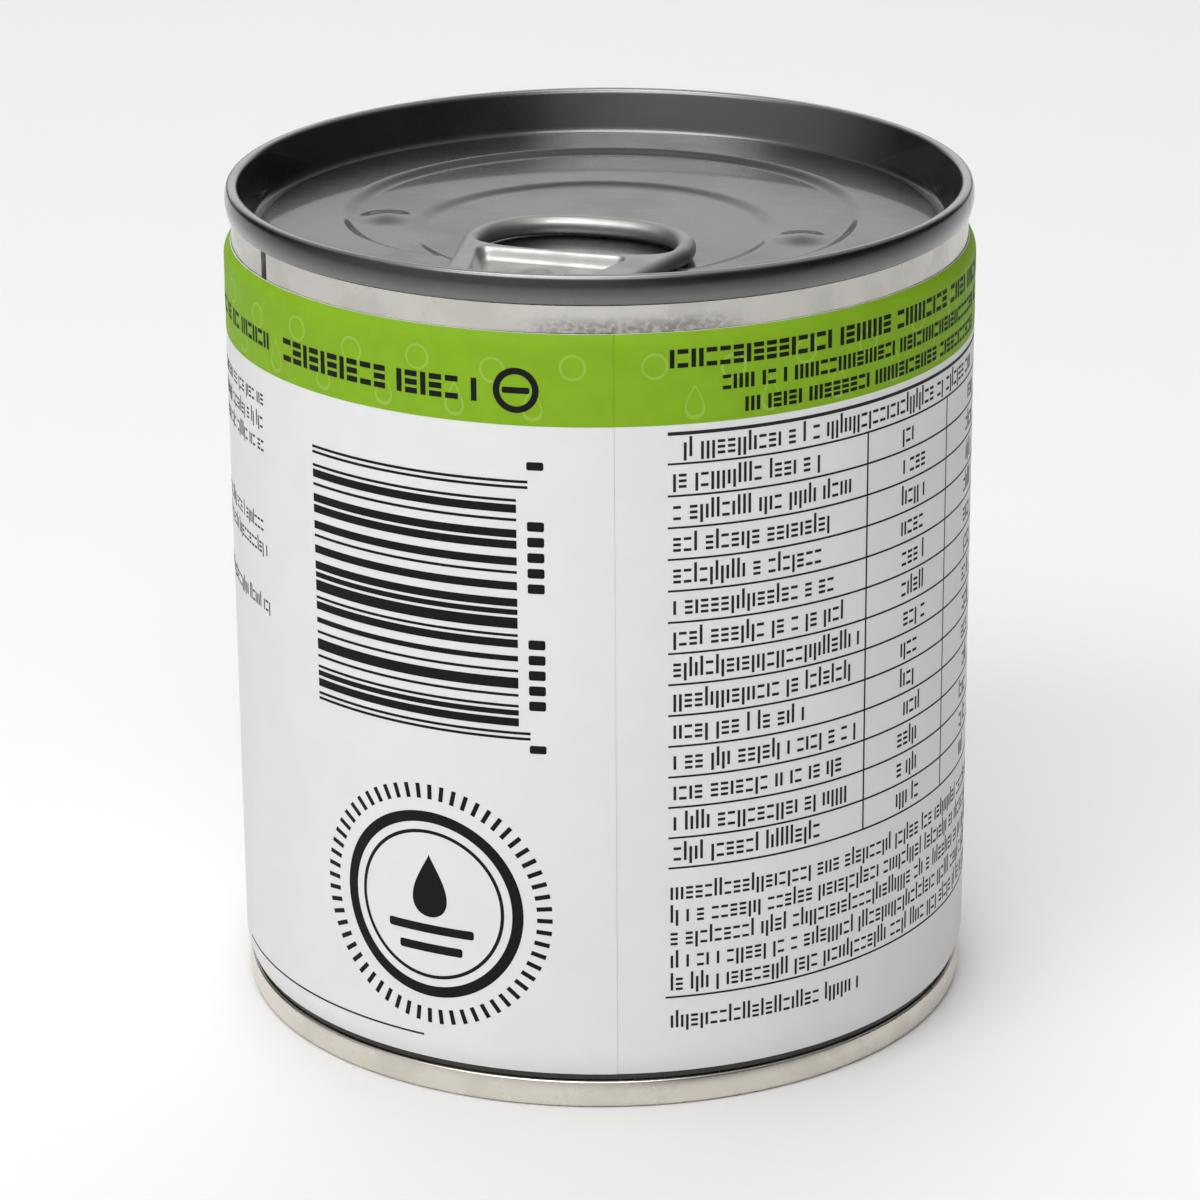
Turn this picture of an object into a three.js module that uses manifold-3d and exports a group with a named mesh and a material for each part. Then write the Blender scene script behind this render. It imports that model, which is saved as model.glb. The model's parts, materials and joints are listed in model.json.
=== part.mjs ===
// A shut steel food can with an easy-open lid, a ring pull and a paper label.
// Millimetres, +Z up. The origin is the centre of the ring that the can stands on,
// and the nose of the pull points along -Y.
import * as THREE from 'three';
import { mergeVertices } from 'three/addons/utils/BufferGeometryUtils.js';
import Module from 'manifold-3d';

const wasm = await Module();
wasm.setup();

// Whole can
const CAN_HEIGHT = 83;
const ROUND_SIDES = 72;
const FIT_GAP = 0.1;

// Body, with a narrower neck under the seam at each end
const BODY_RADIUS = 36.65;
const NECK_RADIUS = 35.75;
const NECK_LENGTH = 2.8;
const NECK_STEPS = 4;

// Paper label
const LABEL_FOOT = 3.6;
const LABEL_TOP = 77.5;
const LABEL_INNER_RADIUS = 36.72;
const LABEL_OUTER_RADIUS = 36.85;

// Double seam round each end, and the plug of the end inside the neck
const SEAM_RADIUS = 36.6;
const SEAM_HEIGHT = 2.8;
const SEAM_LIP = 0.4;
const CREST_ROUND = 0.5;
const CREST_STEPS = 3;
const PLUG_RADIUS = 35;
const PLUG_DEPTH = 6;

// Wall, groove and panel inside the seam, as depths below its crest
const WALL_TOP_RADIUS = 35.3;
const WALL_FOOT_RADIUS = 34.2;
const WALL_FOOT_DEPTH = 4.3;
const GROOVE_OUTER_RADIUS = 33.9;
const GROOVE_INNER_RADIUS = 33.3;
const GROOVE_DEPTH = 4.7;
const PANEL_RADIUS = 32.7;
const PANEL_DEPTH = 4;

// Ring beads pressed into the base
const BASE_BEAD_RADII = [28.5, 22.5];
const BASE_BEAD_WIDTH = 3;
const BASE_BEAD_RISE = 0.7;

// Pressed relief of the lid: a keyhole recess under the pull and a round finger well
const RECESS_RADIUS = 25.7;
const RECESS_BACK_SHIFT = 0.7;
const RECESS_SIDE_ANGLE = THREE.MathUtils.degToRad(14);
const RECESS_DROP = 0.5;
const RECESS_SLOPE = 0.6;
const KEY_CORNER_X = 11.7;
const KEY_CORNER_REACH = 17.8;
const KEY_SIDE_X = 9.6;
const KEY_SIDE_REACH = 27;
const KEY_END_X = 8.4;
const KEY_END_REACH = 32;
const WELL_RADIUS = 18.1;
const WELL_REACH = 3.2;
const WELL_DEPTH = 5.05;
const WELL_SLOPE = 0.8;
const BUMP_SPREAD = THREE.MathUtils.degToRad(78);
const BUMP_DISTANCE = 20.9;
const BUMP_RADIUS = 2.2;
const BUMP_RISE = 0.5;

// Rivet that holds the pull
const RIVET_REACH = 26.4;
const RIVET_STEM_RADIUS = 1.8;
const RIVET_HEAD_RADIUS = 2.7;
const RIVET_HEAD_DEPTH = 2.8;
const RIVET_HEAD_THICKNESS = 0.45;
const RIVET_SIDES = 24;

// Ring pull, with reaches measured from the centre of the lid towards the nose
const PULL_BACK_REACH = 6.2;
const PULL_RING_REACH = 14;
const PULL_RING_HALF_WIDTH = 11.2;
const PULL_NECK_REACH = 26;
const PULL_NECK_HALF_WIDTH = 8.3;
const PULL_NOSE_REACH = 31;
const PULL_THICKNESS = 1.8;
const PULL_EDGE_ROUND = 0.6;
const PULL_BACK_DEPTH = 1.85;
const PULL_NOSE_DEPTH = 2.35;
const PULL_CURVE = 2.4;
const PULL_ARC_STEPS = 20;
const LOOP_BACK_REACH = 8.05;
const LOOP_FRONT_REACH = 18.7;
const LOOP_HALF_WIDTH = 9.45;
const LOOP_FRONT_CURVE = 3;
const WEB_HALF_WIDTH = 6.5;
const WEB_BACK_REACH = 19.9;
const WEB_FRONT_REACH = 29.5;
const WEB_CORNER = 2.4;
const WEB_DEPTH = 1.3;
const RIVET_CLEARANCE = 0.35;

// Colours and roughness
const TINPLATE = 0xc9c6c0;
const PAPER = 0xe4e4e2;
const WARM_TINPLATE = 0xcdc6b6;
const GREY_LACQUER = 0x77797c;
const BRIGHT_METAL = 0xc4c2bd;
const METAL_ROUGHNESS = 0.25;
const PAPER_ROUGHNESS = 0.6;

// A point of a turned section: distance from the axis, then height
function at(radius, height) {
  return new THREE.Vector2(radius, height);
}

// Turns a closed section round the Z axis
function turned(section, sides = ROUND_SIDES) {
  const geometry = new THREE.LatheGeometry(section, sides);
  return geometry.rotateX(Math.PI / 2);
}

// Points on an arc of a section, from one angle to another, in degrees
function arc(radius, height, round, fromDegrees, toDegrees, steps) {
  const points = [];
  for (let step = 0; step <= steps; step += 1) {
    const degrees = fromDegrees + (toDegrees - fromDegrees) * step / steps;
    const angle = THREE.MathUtils.degToRad(degrees);
    points.push(at(radius + round * Math.cos(angle), height + round * Math.sin(angle)));
  }
  return points;
}

// Closed solid for joining and cutting, from a geometry with a closed surface
function toSolid(geometry) {
  const bare = geometry.clone();
  bare.deleteAttribute('normal');
  bare.deleteAttribute('uv');
  const welded = mergeVertices(bare);
  const corners = welded.index.array;
  const kept = [];
  for (let first = 0; first < corners.length; first += 3) {
    const [a, b, c] = corners.slice(first, first + 3);
    if (a !== b && b !== c && c !== a) {
      kept.push(a, b, c);
    }
  }
  return new wasm.Manifold(new wasm.Mesh({
    numProp: 3,
    vertProperties: new Float32Array(welded.attributes.position.array),
    triVerts: new Uint32Array(kept),
  }));
}

// Geometry of a joined or cut solid
function toGeometry(solid) {
  const mesh = solid.getMesh();
  const geometry = new THREE.BufferGeometry();
  geometry.setAttribute('position', new THREE.BufferAttribute(mesh.vertProperties, 3));
  geometry.setIndex(new THREE.BufferAttribute(mesh.triVerts, 1));
  geometry.computeVertexNormals();
  return geometry;
}

function namedMesh(name, geometry, color, roughness, metalness) {
  const material = new THREE.MeshStandardMaterial({ color, roughness, metalness });
  const mesh = new THREE.Mesh(geometry, material);
  mesh.name = name;
  return mesh;
}

// Section of an end, from its hidden inner face over the seam to the edge of the panel.
// Heights are measured from the crest of the seam, which is at 0.
function endSection() {
  const crestRadius = SEAM_RADIUS - CREST_ROUND;
  const innerCrestRadius = WALL_TOP_RADIUS + CREST_ROUND;
  return [
    at(0, -PLUG_DEPTH),
    at(PLUG_RADIUS, -PLUG_DEPTH),
    at(PLUG_RADIUS, -SEAM_HEIGHT),
    at(SEAM_RADIUS - SEAM_LIP, -SEAM_HEIGHT),
    at(SEAM_RADIUS, SEAM_LIP - SEAM_HEIGHT),
    ...arc(crestRadius, -CREST_ROUND, CREST_ROUND, 0, 90, CREST_STEPS),
    ...arc(innerCrestRadius, -CREST_ROUND, CREST_ROUND, 90, 180, CREST_STEPS),
    at(WALL_FOOT_RADIUS, -WALL_FOOT_DEPTH),
    at(GROOVE_OUTER_RADIUS, -GROOVE_DEPTH),
    at(GROOVE_INNER_RADIUS, -GROOVE_DEPTH),
    at(PANEL_RADIUS, -PANEL_DEPTH),
  ];
}

// Shut can: a solid with a shallow pocket at each end for the plug of the lid or base
function canBody() {
  const pocketRadius = PLUG_RADIUS + FIT_GAP;
  const pocketFloor = PLUG_DEPTH + FIT_GAP;
  const rim = SEAM_HEIGHT + FIT_GAP;
  const lowerHalf = [at(0, pocketFloor), at(pocketRadius, pocketFloor), at(pocketRadius, rim)];
  for (let step = 0; step <= NECK_STEPS; step += 1) {
    const share = step / NECK_STEPS;
    const swell = (BODY_RADIUS - NECK_RADIUS) * Math.sin(share * Math.PI / 2);
    lowerHalf.push(at(NECK_RADIUS + swell, rim + share * NECK_LENGTH));
  }
  const upperHalf = lowerHalf.map((point) => at(point.x, CAN_HEIGHT - point.y)).reverse();
  return turned([...lowerHalf, ...upperHalf]);
}

function paperLabel() {
  return turned([
    at(LABEL_INNER_RADIUS, LABEL_FOOT),
    at(LABEL_OUTER_RADIUS, LABEL_FOOT),
    at(LABEL_OUTER_RADIUS, LABEL_TOP),
    at(LABEL_INNER_RADIUS, LABEL_TOP),
    at(LABEL_INNER_RADIUS, LABEL_FOOT),
  ]);
}

// Base: the end turned over, with ring beads that stand towards the floor
function canBase() {
  const section = endSection();
  for (const radius of BASE_BEAD_RADII) {
    const beadTop = BASE_BEAD_RISE - PANEL_DEPTH;
    section.push(at(radius + BASE_BEAD_WIDTH / 2, -PANEL_DEPTH));
    section.push(at(radius + BASE_BEAD_WIDTH / 5, beadTop));
    section.push(at(radius - BASE_BEAD_WIDTH / 5, beadTop));
    section.push(at(radius - BASE_BEAD_WIDTH / 2, -PANEL_DEPTH));
  }
  section.push(at(0, -PANEL_DEPTH));
  return turned(section.map((point) => at(point.x, -point.y)).reverse());
}

// Keyhole outline: a round recess that narrows to a corner on each side of the pull,
// then runs out beside the pull to its nose
function keyholeShape() {
  const shape = new THREE.Shape();
  const sideX = RECESS_RADIUS * Math.cos(RECESS_SIDE_ANGLE);
  const sideY = RECESS_BACK_SHIFT - RECESS_RADIUS * Math.sin(RECESS_SIDE_ANGLE);
  const cornerY = -KEY_CORNER_REACH;
  const turnX = sideX - (sideY - cornerY) * Math.tan(RECESS_SIDE_ANGLE);
  const turnY = cornerY + (turnX - KEY_CORNER_X) * Math.tan(RECESS_SIDE_ANGLE);
  const endY = -KEY_END_REACH;
  shape.absarc(0, RECESS_BACK_SHIFT, RECESS_RADIUS, -RECESS_SIDE_ANGLE, Math.PI + RECESS_SIDE_ANGLE);
  shape.quadraticCurveTo(-turnX, turnY, -KEY_CORNER_X, cornerY);
  shape.lineTo(-KEY_SIDE_X, -KEY_SIDE_REACH);
  shape.quadraticCurveTo(-KEY_END_X, endY, 0, endY);
  shape.quadraticCurveTo(KEY_END_X, endY, KEY_SIDE_X, -KEY_SIDE_REACH);
  shape.lineTo(KEY_CORNER_X, cornerY);
  shape.quadraticCurveTo(turnX, turnY, sideX, sideY);
  return shape;
}

// Cutter for the keyhole recess, with its sloping side rising to the panel
function keyholeCutter() {
  const geometry = new THREE.ExtrudeGeometry(keyholeShape(), {
    depth: PANEL_DEPTH,
    curveSegments: 12,
    bevelThickness: RECESS_DROP,
    bevelSize: RECESS_SLOPE,
    bevelOffset: -RECESS_SLOPE,
    bevelSegments: 2,
  });
  return toSolid(geometry.translate(0, 0, CAN_HEIGHT - PANEL_DEPTH));
}

// Cutter for the finger well under the ring of the pull
function wellCutter() {
  const floor = CAN_HEIGHT - WELL_DEPTH;
  const brim = CAN_HEIGHT - PANEL_DEPTH - RECESS_DROP;
  const section = [
    at(0, floor),
    at(WELL_RADIUS - WELL_SLOPE, floor),
    at(WELL_RADIUS, brim),
    at(WELL_RADIUS, CAN_HEIGHT),
    at(0, CAN_HEIGHT),
  ];
  return toSolid(turned(section).translate(0, -WELL_REACH, 0));
}

// Low round bump pressed up from the recess
function bump(side) {
  const floor = CAN_HEIGHT - PANEL_DEPTH - RECESS_DROP;
  const crownRadius = (BUMP_RADIUS ** 2 + BUMP_RISE ** 2) / (2 * BUMP_RISE);
  const crownAngle = THREE.MathUtils.radToDeg(Math.asin(BUMP_RADIUS / crownRadius));
  const crownCentre = floor + BUMP_RISE - crownRadius;
  const crown = arc(0, crownCentre, crownRadius, 90 - crownAngle, 90, CREST_STEPS);
  crown[CREST_STEPS].x = 0;
  const section = [at(0, floor - BUMP_RISE), at(BUMP_RADIUS, floor - BUMP_RISE), ...crown];
  const x = side * BUMP_DISTANCE * Math.sin(BUMP_SPREAD);
  const y = -BUMP_DISTANCE * Math.cos(BUMP_SPREAD);
  return toSolid(turned(section, RIVET_SIDES).translate(x, y, 0));
}

// Rivet drawn up from the lid through the pull, with a flattened head
function rivet() {
  const root = CAN_HEIGHT - PANEL_DEPTH - 2 * RECESS_DROP;
  const headTop = CAN_HEIGHT - RIVET_HEAD_DEPTH;
  const headFoot = headTop - RIVET_HEAD_THICKNESS;
  const section = [
    at(0, root),
    at(RIVET_STEM_RADIUS, root),
    at(RIVET_STEM_RADIUS, headFoot),
    at(RIVET_HEAD_RADIUS, headFoot),
    at(RIVET_HEAD_RADIUS, headTop - RIVET_HEAD_THICKNESS / 3),
    at(RIVET_HEAD_RADIUS - RIVET_HEAD_THICKNESS, headTop),
    at(0, headTop),
  ];
  return toSolid(turned(section, RIVET_SIDES).translate(0, -RIVET_REACH, 0));
}

function canLid() {
  const section = [...endSection(), at(0, -PANEL_DEPTH)];
  const blank = toSolid(turned(section.map((point) => at(point.x, CAN_HEIGHT + point.y))));
  const pressed = blank.subtract(keyholeCutter()).subtract(wellCutter());
  return toGeometry(pressed.add(bump(-1)).add(bump(1)).add(rivet()));
}

// Half of a rounded outline, wider than an ellipse of the same size
function roundedHalf(halfWidth, baseY, reach, curve, turnSign) {
  const points = [];
  for (let step = 0; step <= PULL_ARC_STEPS; step += 1) {
    const angle = Math.PI * step / PULL_ARC_STEPS;
    const across = Math.abs(Math.cos(angle)) ** (2 / curve) * Math.sign(Math.cos(angle));
    const along = Math.abs(Math.sin(angle)) ** (2 / curve);
    points.push(new THREE.Vector2(turnSign * halfWidth * across, baseY + turnSign * reach * along));
  }
  return points;
}

// Outline of the pull seen from above, with the finger loop as its hole
function pullShape() {
  const backLength = PULL_RING_REACH - PULL_BACK_REACH;
  const noseLength = PULL_NOSE_REACH - PULL_NECK_REACH;
  const ringY = -PULL_RING_REACH;
  const shape = new THREE.Shape([
    ...roundedHalf(PULL_RING_HALF_WIDTH, ringY, backLength, PULL_CURVE, 1),
    ...roundedHalf(PULL_NECK_HALF_WIDTH, -PULL_NECK_REACH, noseLength, PULL_CURVE, -1),
  ]);
  const loopBack = PULL_RING_REACH - LOOP_BACK_REACH;
  const loopFront = LOOP_FRONT_REACH - PULL_RING_REACH;
  shape.holes.push(new THREE.Path([
    ...roundedHalf(LOOP_HALF_WIDTH, ringY, loopBack, PULL_CURVE, 1),
    ...roundedHalf(LOOP_HALF_WIDTH, ringY, loopFront, LOOP_FRONT_CURVE, -1).slice(1, -1),
  ]));
  return shape;
}

// Rounded rectangle of the sunken web that the rivet passes through
function webShape() {
  const shape = new THREE.Shape();
  const inner = WEB_HALF_WIDTH - WEB_CORNER;
  const backY = -WEB_BACK_REACH - WEB_CORNER;
  const frontY = -WEB_FRONT_REACH + WEB_CORNER;
  shape.absarc(inner, backY, WEB_CORNER, 0, Math.PI / 2);
  shape.absarc(-inner, backY, WEB_CORNER, Math.PI / 2, Math.PI);
  shape.absarc(-inner, frontY, WEB_CORNER, Math.PI, Math.PI * 1.5);
  shape.absarc(inner, frontY, WEB_CORNER, Math.PI * 1.5, Math.PI * 2);
  return shape;
}

// Pull in its own frame: the rivet axis is Z and the top face is at 0
function ringPull() {
  const blank = new THREE.ExtrudeGeometry(pullShape(), {
    depth: PULL_THICKNESS - 2 * PULL_EDGE_ROUND,
    bevelThickness: PULL_EDGE_ROUND,
    bevelSize: PULL_EDGE_ROUND,
    bevelOffset: -PULL_EDGE_ROUND,
    bevelSegments: 2,
  });
  const web = new THREE.ExtrudeGeometry(webShape(), {
    depth: PULL_THICKNESS,
    curveSegments: 5,
    bevelEnabled: false,
  });
  const hole = new THREE.CylinderGeometry(
    RIVET_STEM_RADIUS + RIVET_CLEARANCE,
    RIVET_STEM_RADIUS + RIVET_CLEARANCE,
    4 * PULL_THICKNESS,
    RIVET_SIDES,
  );
  blank.translate(0, RIVET_REACH, PULL_EDGE_ROUND - PULL_THICKNESS);
  web.translate(0, RIVET_REACH, -WEB_DEPTH);
  hole.rotateX(Math.PI / 2);
  return toGeometry(toSolid(blank).subtract(toSolid(web)).subtract(toSolid(hole)));
}

// The pull lies on the lid, tipped so that the ring stands a little higher than the nose
function placedPull() {
  const mesh = namedMesh('pull_tab', ringPull(), BRIGHT_METAL, METAL_ROUGHNESS, 1);
  const tip = (PULL_NOSE_DEPTH - PULL_BACK_DEPTH) / (PULL_NOSE_REACH - PULL_BACK_REACH);
  const depthAtRivet = PULL_BACK_DEPTH + tip * (RIVET_REACH - PULL_BACK_REACH);
  mesh.position.set(0, -RIVET_REACH, CAN_HEIGHT - depthAtRivet);
  mesh.rotation.x = Math.atan(tip);
  return mesh;
}

const can = new THREE.Group();
can.add(namedMesh('can_body', canBody(), TINPLATE, METAL_ROUGHNESS, 1));
can.add(namedMesh('label', paperLabel(), PAPER, PAPER_ROUGHNESS, 0));
can.add(namedMesh('base', canBase(), WARM_TINPLATE, METAL_ROUGHNESS, 1));
can.add(namedMesh('lid', canLid(), GREY_LACQUER, METAL_ROUGHNESS, 1));
can.add(placedPull());

export default can;
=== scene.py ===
"""A shut food can with a ring-pull lid and a printed paper label, laid out as a Blender add-on.

Each operator makes one piece or one group of like pieces, in metres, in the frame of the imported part.
"""
import json
import math
from collections import namedtuple

import bmesh
import bpy
import numpy as np
from bpy.props import FloatProperty, FloatVectorProperty, IntProperty, PointerProperty
from bpy.types import Operator, Panel, PropertyGroup
from mathutils import Matrix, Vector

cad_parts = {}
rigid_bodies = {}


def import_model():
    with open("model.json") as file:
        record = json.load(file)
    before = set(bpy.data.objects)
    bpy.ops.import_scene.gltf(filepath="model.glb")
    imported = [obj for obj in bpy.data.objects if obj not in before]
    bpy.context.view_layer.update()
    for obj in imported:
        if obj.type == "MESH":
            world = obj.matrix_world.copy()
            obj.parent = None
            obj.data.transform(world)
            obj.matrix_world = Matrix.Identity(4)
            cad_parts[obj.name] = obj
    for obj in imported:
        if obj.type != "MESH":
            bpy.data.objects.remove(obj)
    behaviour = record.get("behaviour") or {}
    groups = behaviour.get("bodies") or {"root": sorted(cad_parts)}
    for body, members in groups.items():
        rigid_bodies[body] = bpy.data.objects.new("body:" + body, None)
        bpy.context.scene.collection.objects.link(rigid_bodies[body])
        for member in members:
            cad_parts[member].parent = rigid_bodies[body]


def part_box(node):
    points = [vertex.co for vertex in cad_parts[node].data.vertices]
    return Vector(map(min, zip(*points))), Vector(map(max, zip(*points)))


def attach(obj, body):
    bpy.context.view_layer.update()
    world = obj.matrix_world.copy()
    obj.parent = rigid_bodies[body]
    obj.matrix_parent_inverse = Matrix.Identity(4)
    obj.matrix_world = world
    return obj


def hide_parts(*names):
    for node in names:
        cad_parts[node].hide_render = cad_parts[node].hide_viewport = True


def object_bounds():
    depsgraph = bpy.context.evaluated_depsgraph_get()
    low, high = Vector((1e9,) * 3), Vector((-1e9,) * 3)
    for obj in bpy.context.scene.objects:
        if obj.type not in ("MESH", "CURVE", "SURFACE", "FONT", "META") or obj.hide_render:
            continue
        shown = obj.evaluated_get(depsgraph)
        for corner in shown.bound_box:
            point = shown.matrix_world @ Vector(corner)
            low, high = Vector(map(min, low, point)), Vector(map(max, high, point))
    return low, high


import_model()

bl_info = {
    "name": "Ring-pull food can",
    "version": (1, 0, 0),
    "blender": (4, 5, 0),
    "location": "View3D > Sidebar > Can",
    "description": "Makes a shut steel food can with a paper label and a ring-pull lid",
    "category": "Add Mesh",
}

MM = 0.001
BODY = "root"
WELD_DISTANCE = 0.001 * MM
CAD_BOX = [[float(value) for value in corner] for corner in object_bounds()]
LABEL_LOW, LABEL_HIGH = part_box("label")


def length(label, about, millimetres):
    """A length property, given in millimetres and kept in metres."""
    return FloatProperty(name=label, description=about, default=millimetres * MM, unit='LENGTH', precision=5)


def angle(label, about, degrees):
    """An angle property, given in degrees."""
    return FloatProperty(name=label, description=about, default=math.radians(degrees), subtype='ANGLE')


def factor(label, about, value):
    """A plain number without a unit."""
    return FloatProperty(name=label, description=about, default=value, precision=3)


def count(label, about, number):
    """A whole number."""
    return IntProperty(name=label, description=about, default=number, min=1)


def colour(label, about, red, green, blue):
    """A linear colour."""
    return FloatVectorProperty(
        name=label, description=about, default=(red, green, blue), subtype='COLOR', size=3, min=0.0, max=1.0)


class CanSizes(PropertyGroup):
    """Body of the can"""
    height: FloatProperty(
        name="Height", description="Floor to the crest of the lid", default=CAD_BOX[1][2], unit='LENGTH')
    body_radius: length("Body radius", "Outside of the straight wall", 36.65)
    neck_radius: length("Neck radius", "Narrowest part, under each seam", 36.0)
    neck_length: length("Neck length", "Height from the rim to the straight wall", 4.4)
    neck_straight: length("Neck straight", "Straight part of the neck under the seam", 3.5)
    rim: length("Rim", "Height of the body's edge above the crest of the seam", 2.9)
    pocket_radius: length("Pocket radius", "Space for the plug of an end", 35.1)
    pocket_depth: length("Pocket depth", "Depth of that space below the crest", 6.1)
    weld_width: length("Weld width", "Dark welded strip down the wall", 1.15)
    weld_proud: length("Weld height", "How far the weld stands off the wall", 0.03)
    weld_angle: angle("Weld angle", "Place of the weld, from the front of the pull", -49.8)
    columns: count("Columns", "Faces round the axis", 360)


class EndSizes(PropertyGroup):
    """Seam, wall and panel that the lid and the base share, as depths below the crest"""
    seam_radius: length("Seam radius", "Outside of the double seam", 36.6)
    seam_height: length("Seam height", "Height of the double seam", 2.8)
    seam_bulge: length("Seam bulge", "How far the face of the seam is rounded", 0.3)
    seam_foot_round: length("Seam foot round", "Rounding of the seam's hem", 0.25)
    crest_round: length("Crest round", "Rounding of the crest", 0.5)
    plug_radius: length("Plug radius", "Part of the end inside the neck", 35.0)
    plug_depth: length("Plug depth", "Depth of that part", 6.0)
    wall_top_radius: length("Wall top radius", "Sloping wall at the crest", 35.3)
    wall_foot_radius: length("Wall foot radius", "Sloping wall at its foot", 34.2)
    foot_round: length("Foot round", "Rounding between the wall and the groove", 0.9)
    groove_inner_radius: length("Groove inner radius", "Inner edge of the groove's floor", 33.2)
    groove_depth: length("Groove depth", "Depth of the groove round the panel", 4.6)
    groove_round: length("Groove round", "Rounding of the groove and panel edges", 0.3)
    panel_radius: length("Panel radius", "Flat panel inside the groove", 32.7)
    panel_depth: length("Panel depth", "Depth of the panel", 4.0)
    bead_outer_radius: length("Outer bead radius", "Outer ring bead of the base", 28.5)
    bead_inner_radius: length("Inner bead radius", "Inner ring bead of the base", 22.5)
    bead_width: length("Bead width", "Width of a ring bead", 3.0)
    bead_rise: length("Bead rise", "Height of a ring bead", 0.7)


class LidSizes(PropertyGroup):
    """Pressed relief of the lid and its rivet"""
    recess_radius: length("Recess radius", "Round part of the keyhole recess", 25.7)
    recess_back_shift: length("Recess shift", "Centre of that part, behind the axis", 0.7)
    recess_side_angle: angle("Recess side angle", "Where the round part ends on each side", 14.0)
    recess_drop: length("Recess drop", "Depth of the recess below the panel", 0.5)
    recess_slope: length("Recess slope", "Width of its sloping edge", 1.6)
    key_corner_x: length("Key corner width", "Half width where the recess narrows", 11.7)
    key_corner_reach: length("Key corner reach", "Distance of that corner from the axis", 17.8)
    key_side_x: length("Key side width", "Half width beside the nose of the pull", 9.6)
    key_side_reach: length("Key side reach", "Distance of that side from the axis", 27.0)
    key_end_x: length("Key end width", "Half width of the rounded end", 8.4)
    key_end_reach: length("Key end reach", "Distance of the end from the axis", 32.0)
    well_radius: length("Well radius", "Round finger well under the ring", 18.1)
    well_reach: length("Well reach", "Centre of the well, towards the nose", 3.2)
    well_depth: length("Well depth", "Depth of the well below the crest", 4.82)
    well_slope: length("Well slope", "Width of its sloping edge", 1.8)
    bump_spread: angle("Bump angle", "Place of a bump from the nose, each way", 80.5)
    bump_distance: length("Bump distance", "Distance of a bump from the axis", 20.9)
    bump_radius: length("Bump radius", "Radius of a bump", 3.3)
    bump_rise: length("Bump rise", "Height of a bump", 0.42)
    rivet_reach: length("Rivet reach", "Distance of the rivet from the axis", 26.4)
    rivet_stem_radius: length("Rivet stem radius", "Stem through the pull", 1.8)
    rivet_head_radius: length("Rivet head radius", "Flattened head", 2.7)
    rivet_head_depth: length("Rivet head depth", "Top of the head below the crest", 2.8)
    rivet_head_thickness: length("Rivet head thickness", "Thickness of the head", 0.45)


class PullSizes(PropertyGroup):
    """Ring pull, with reaches from the axis towards its nose"""
    back_reach: length("Back reach", "Back of the ring", 4.0)
    ring_reach: length("Ring reach", "Widest place of the ring", 14.0)
    ring_half_width: length("Ring half width", "Half width there", 11.2)
    neck_reach: length("Neck reach", "Start of the rounded nose", 26.0)
    neck_half_width: length("Neck half width", "Half width there", 9.0)
    nose_reach: length("Nose reach", "Tip of the nose", 31.0)
    thickness: length("Thickness", "Height of the rolled edge", 1.9)
    edge_round: length("Edge round", "Rounding of the rolled edge", 0.9)
    back_depth: length("Back depth", "Top of the ring's back below the crest", 2.9)
    nose_depth: length("Nose depth", "Top of the nose below the crest", 2.4)
    twist: angle("Twist", "Turn of the pull in its recess", 5.3)
    twist_reach: length("Twist reach", "Distance from the axis of the point that it is turned about", 21.7)
    curve: factor("Curve", "Fullness of the rounded ends, 2 for an ellipse", 2.4)
    loop_back_reach: length("Loop back reach", "Back of the finger loop", 6.0)
    loop_front_reach: length("Loop front reach", "Front of the finger loop", 17.7)
    loop_half_width: length("Loop half width", "Half width of the finger loop", 9.45)
    loop_front_curve: factor("Loop front curve", "Fullness of the loop's front", 3.0)
    web_shift: length("Web shift", "Place of the web to the left of the middle", 0.7)
    web_half_width: length("Web half width", "Half width of the sunken web", 7.3)
    web_back_reach: length("Web back reach", "Back of the web", 19.1)
    web_front_reach: length("Web front reach", "Front of the web", 29.5)
    web_taper: factor("Web taper", "Loss of half width for each unit towards the nose", 0.25)
    web_corner: length("Web corner", "Corner radius of the web", 1.2)
    web_depth: length("Web depth", "Depth of the web", 1.3)
    web_slope: length("Web slope", "Width of the web's wall", 0.65)
    under_lift: length("Hollow lift", "Hollow of the underside inside the rolled edge", 0.3)
    columns: count("Columns", "Faces round the loop", 300)
    rows: count("Rows", "Faces across the metal, on each side", 96)


class LabelSizes(PropertyGroup):
    """Paper label and its fields of colour, as heights above the floor and arcs from the front"""
    foot: FloatProperty(
        name="Foot", description="Lower edge of the paper", default=LABEL_LOW[2], unit='LENGTH')
    top: FloatProperty(
        name="Top", description="Upper edge of the paper", default=LABEL_HIGH[2], unit='LENGTH')
    radius: length("Paper radius", "Outside of one layer of paper", 36.765)
    thickness: length("Paper thickness", "Thickness of the paper", 0.08)
    curl_height: length("Curl height", "How much of the lower edge bends in", 2.0)
    curl_inset: length("Curl inset", "How far it bends in", 0.42)
    lean_height: length("Lean height", "How much of the upper edge leans in", 1.4)
    lean: length("Lean", "How far it leans in", 0.64)
    front: angle("Front", "Direction of the printed front from the nose of the pull", 12.0)
    lap_edge: length("Lap edge", "Arc of the visible end of the paper", 1.2)
    lap_length: length("Lap length", "Width of the glued lap", 9.0)
    lap_fade: length("Lap fade", "Width over which the lap runs out", 4.0)
    lap_lift: length("Lap lift", "How far the lap stands off", 0.045)
    end_gap: length("End gap", "Gap between the two ends of the paper", 0.02)
    band_foot: length("Band foot", "Lower edge of the coloured band", 68.85)
    band_margin: length("Band margin", "Bare paper left above the band", 0.02)
    ink_sink: length("Ink sink", "How far a field of ink reaches into the paper", 0.01)
    field_lift: length("Field lift", "Height of a field of colour above the paper", 0.012)
    motif_lift: length("Motif lift", "Height of pale figures on the band", 0.019)
    line_lift: length("Line lift", "Height of print on top of a field", 0.026)
    step: length("Arc step", "Widest face along the arc", 1.2)


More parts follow.
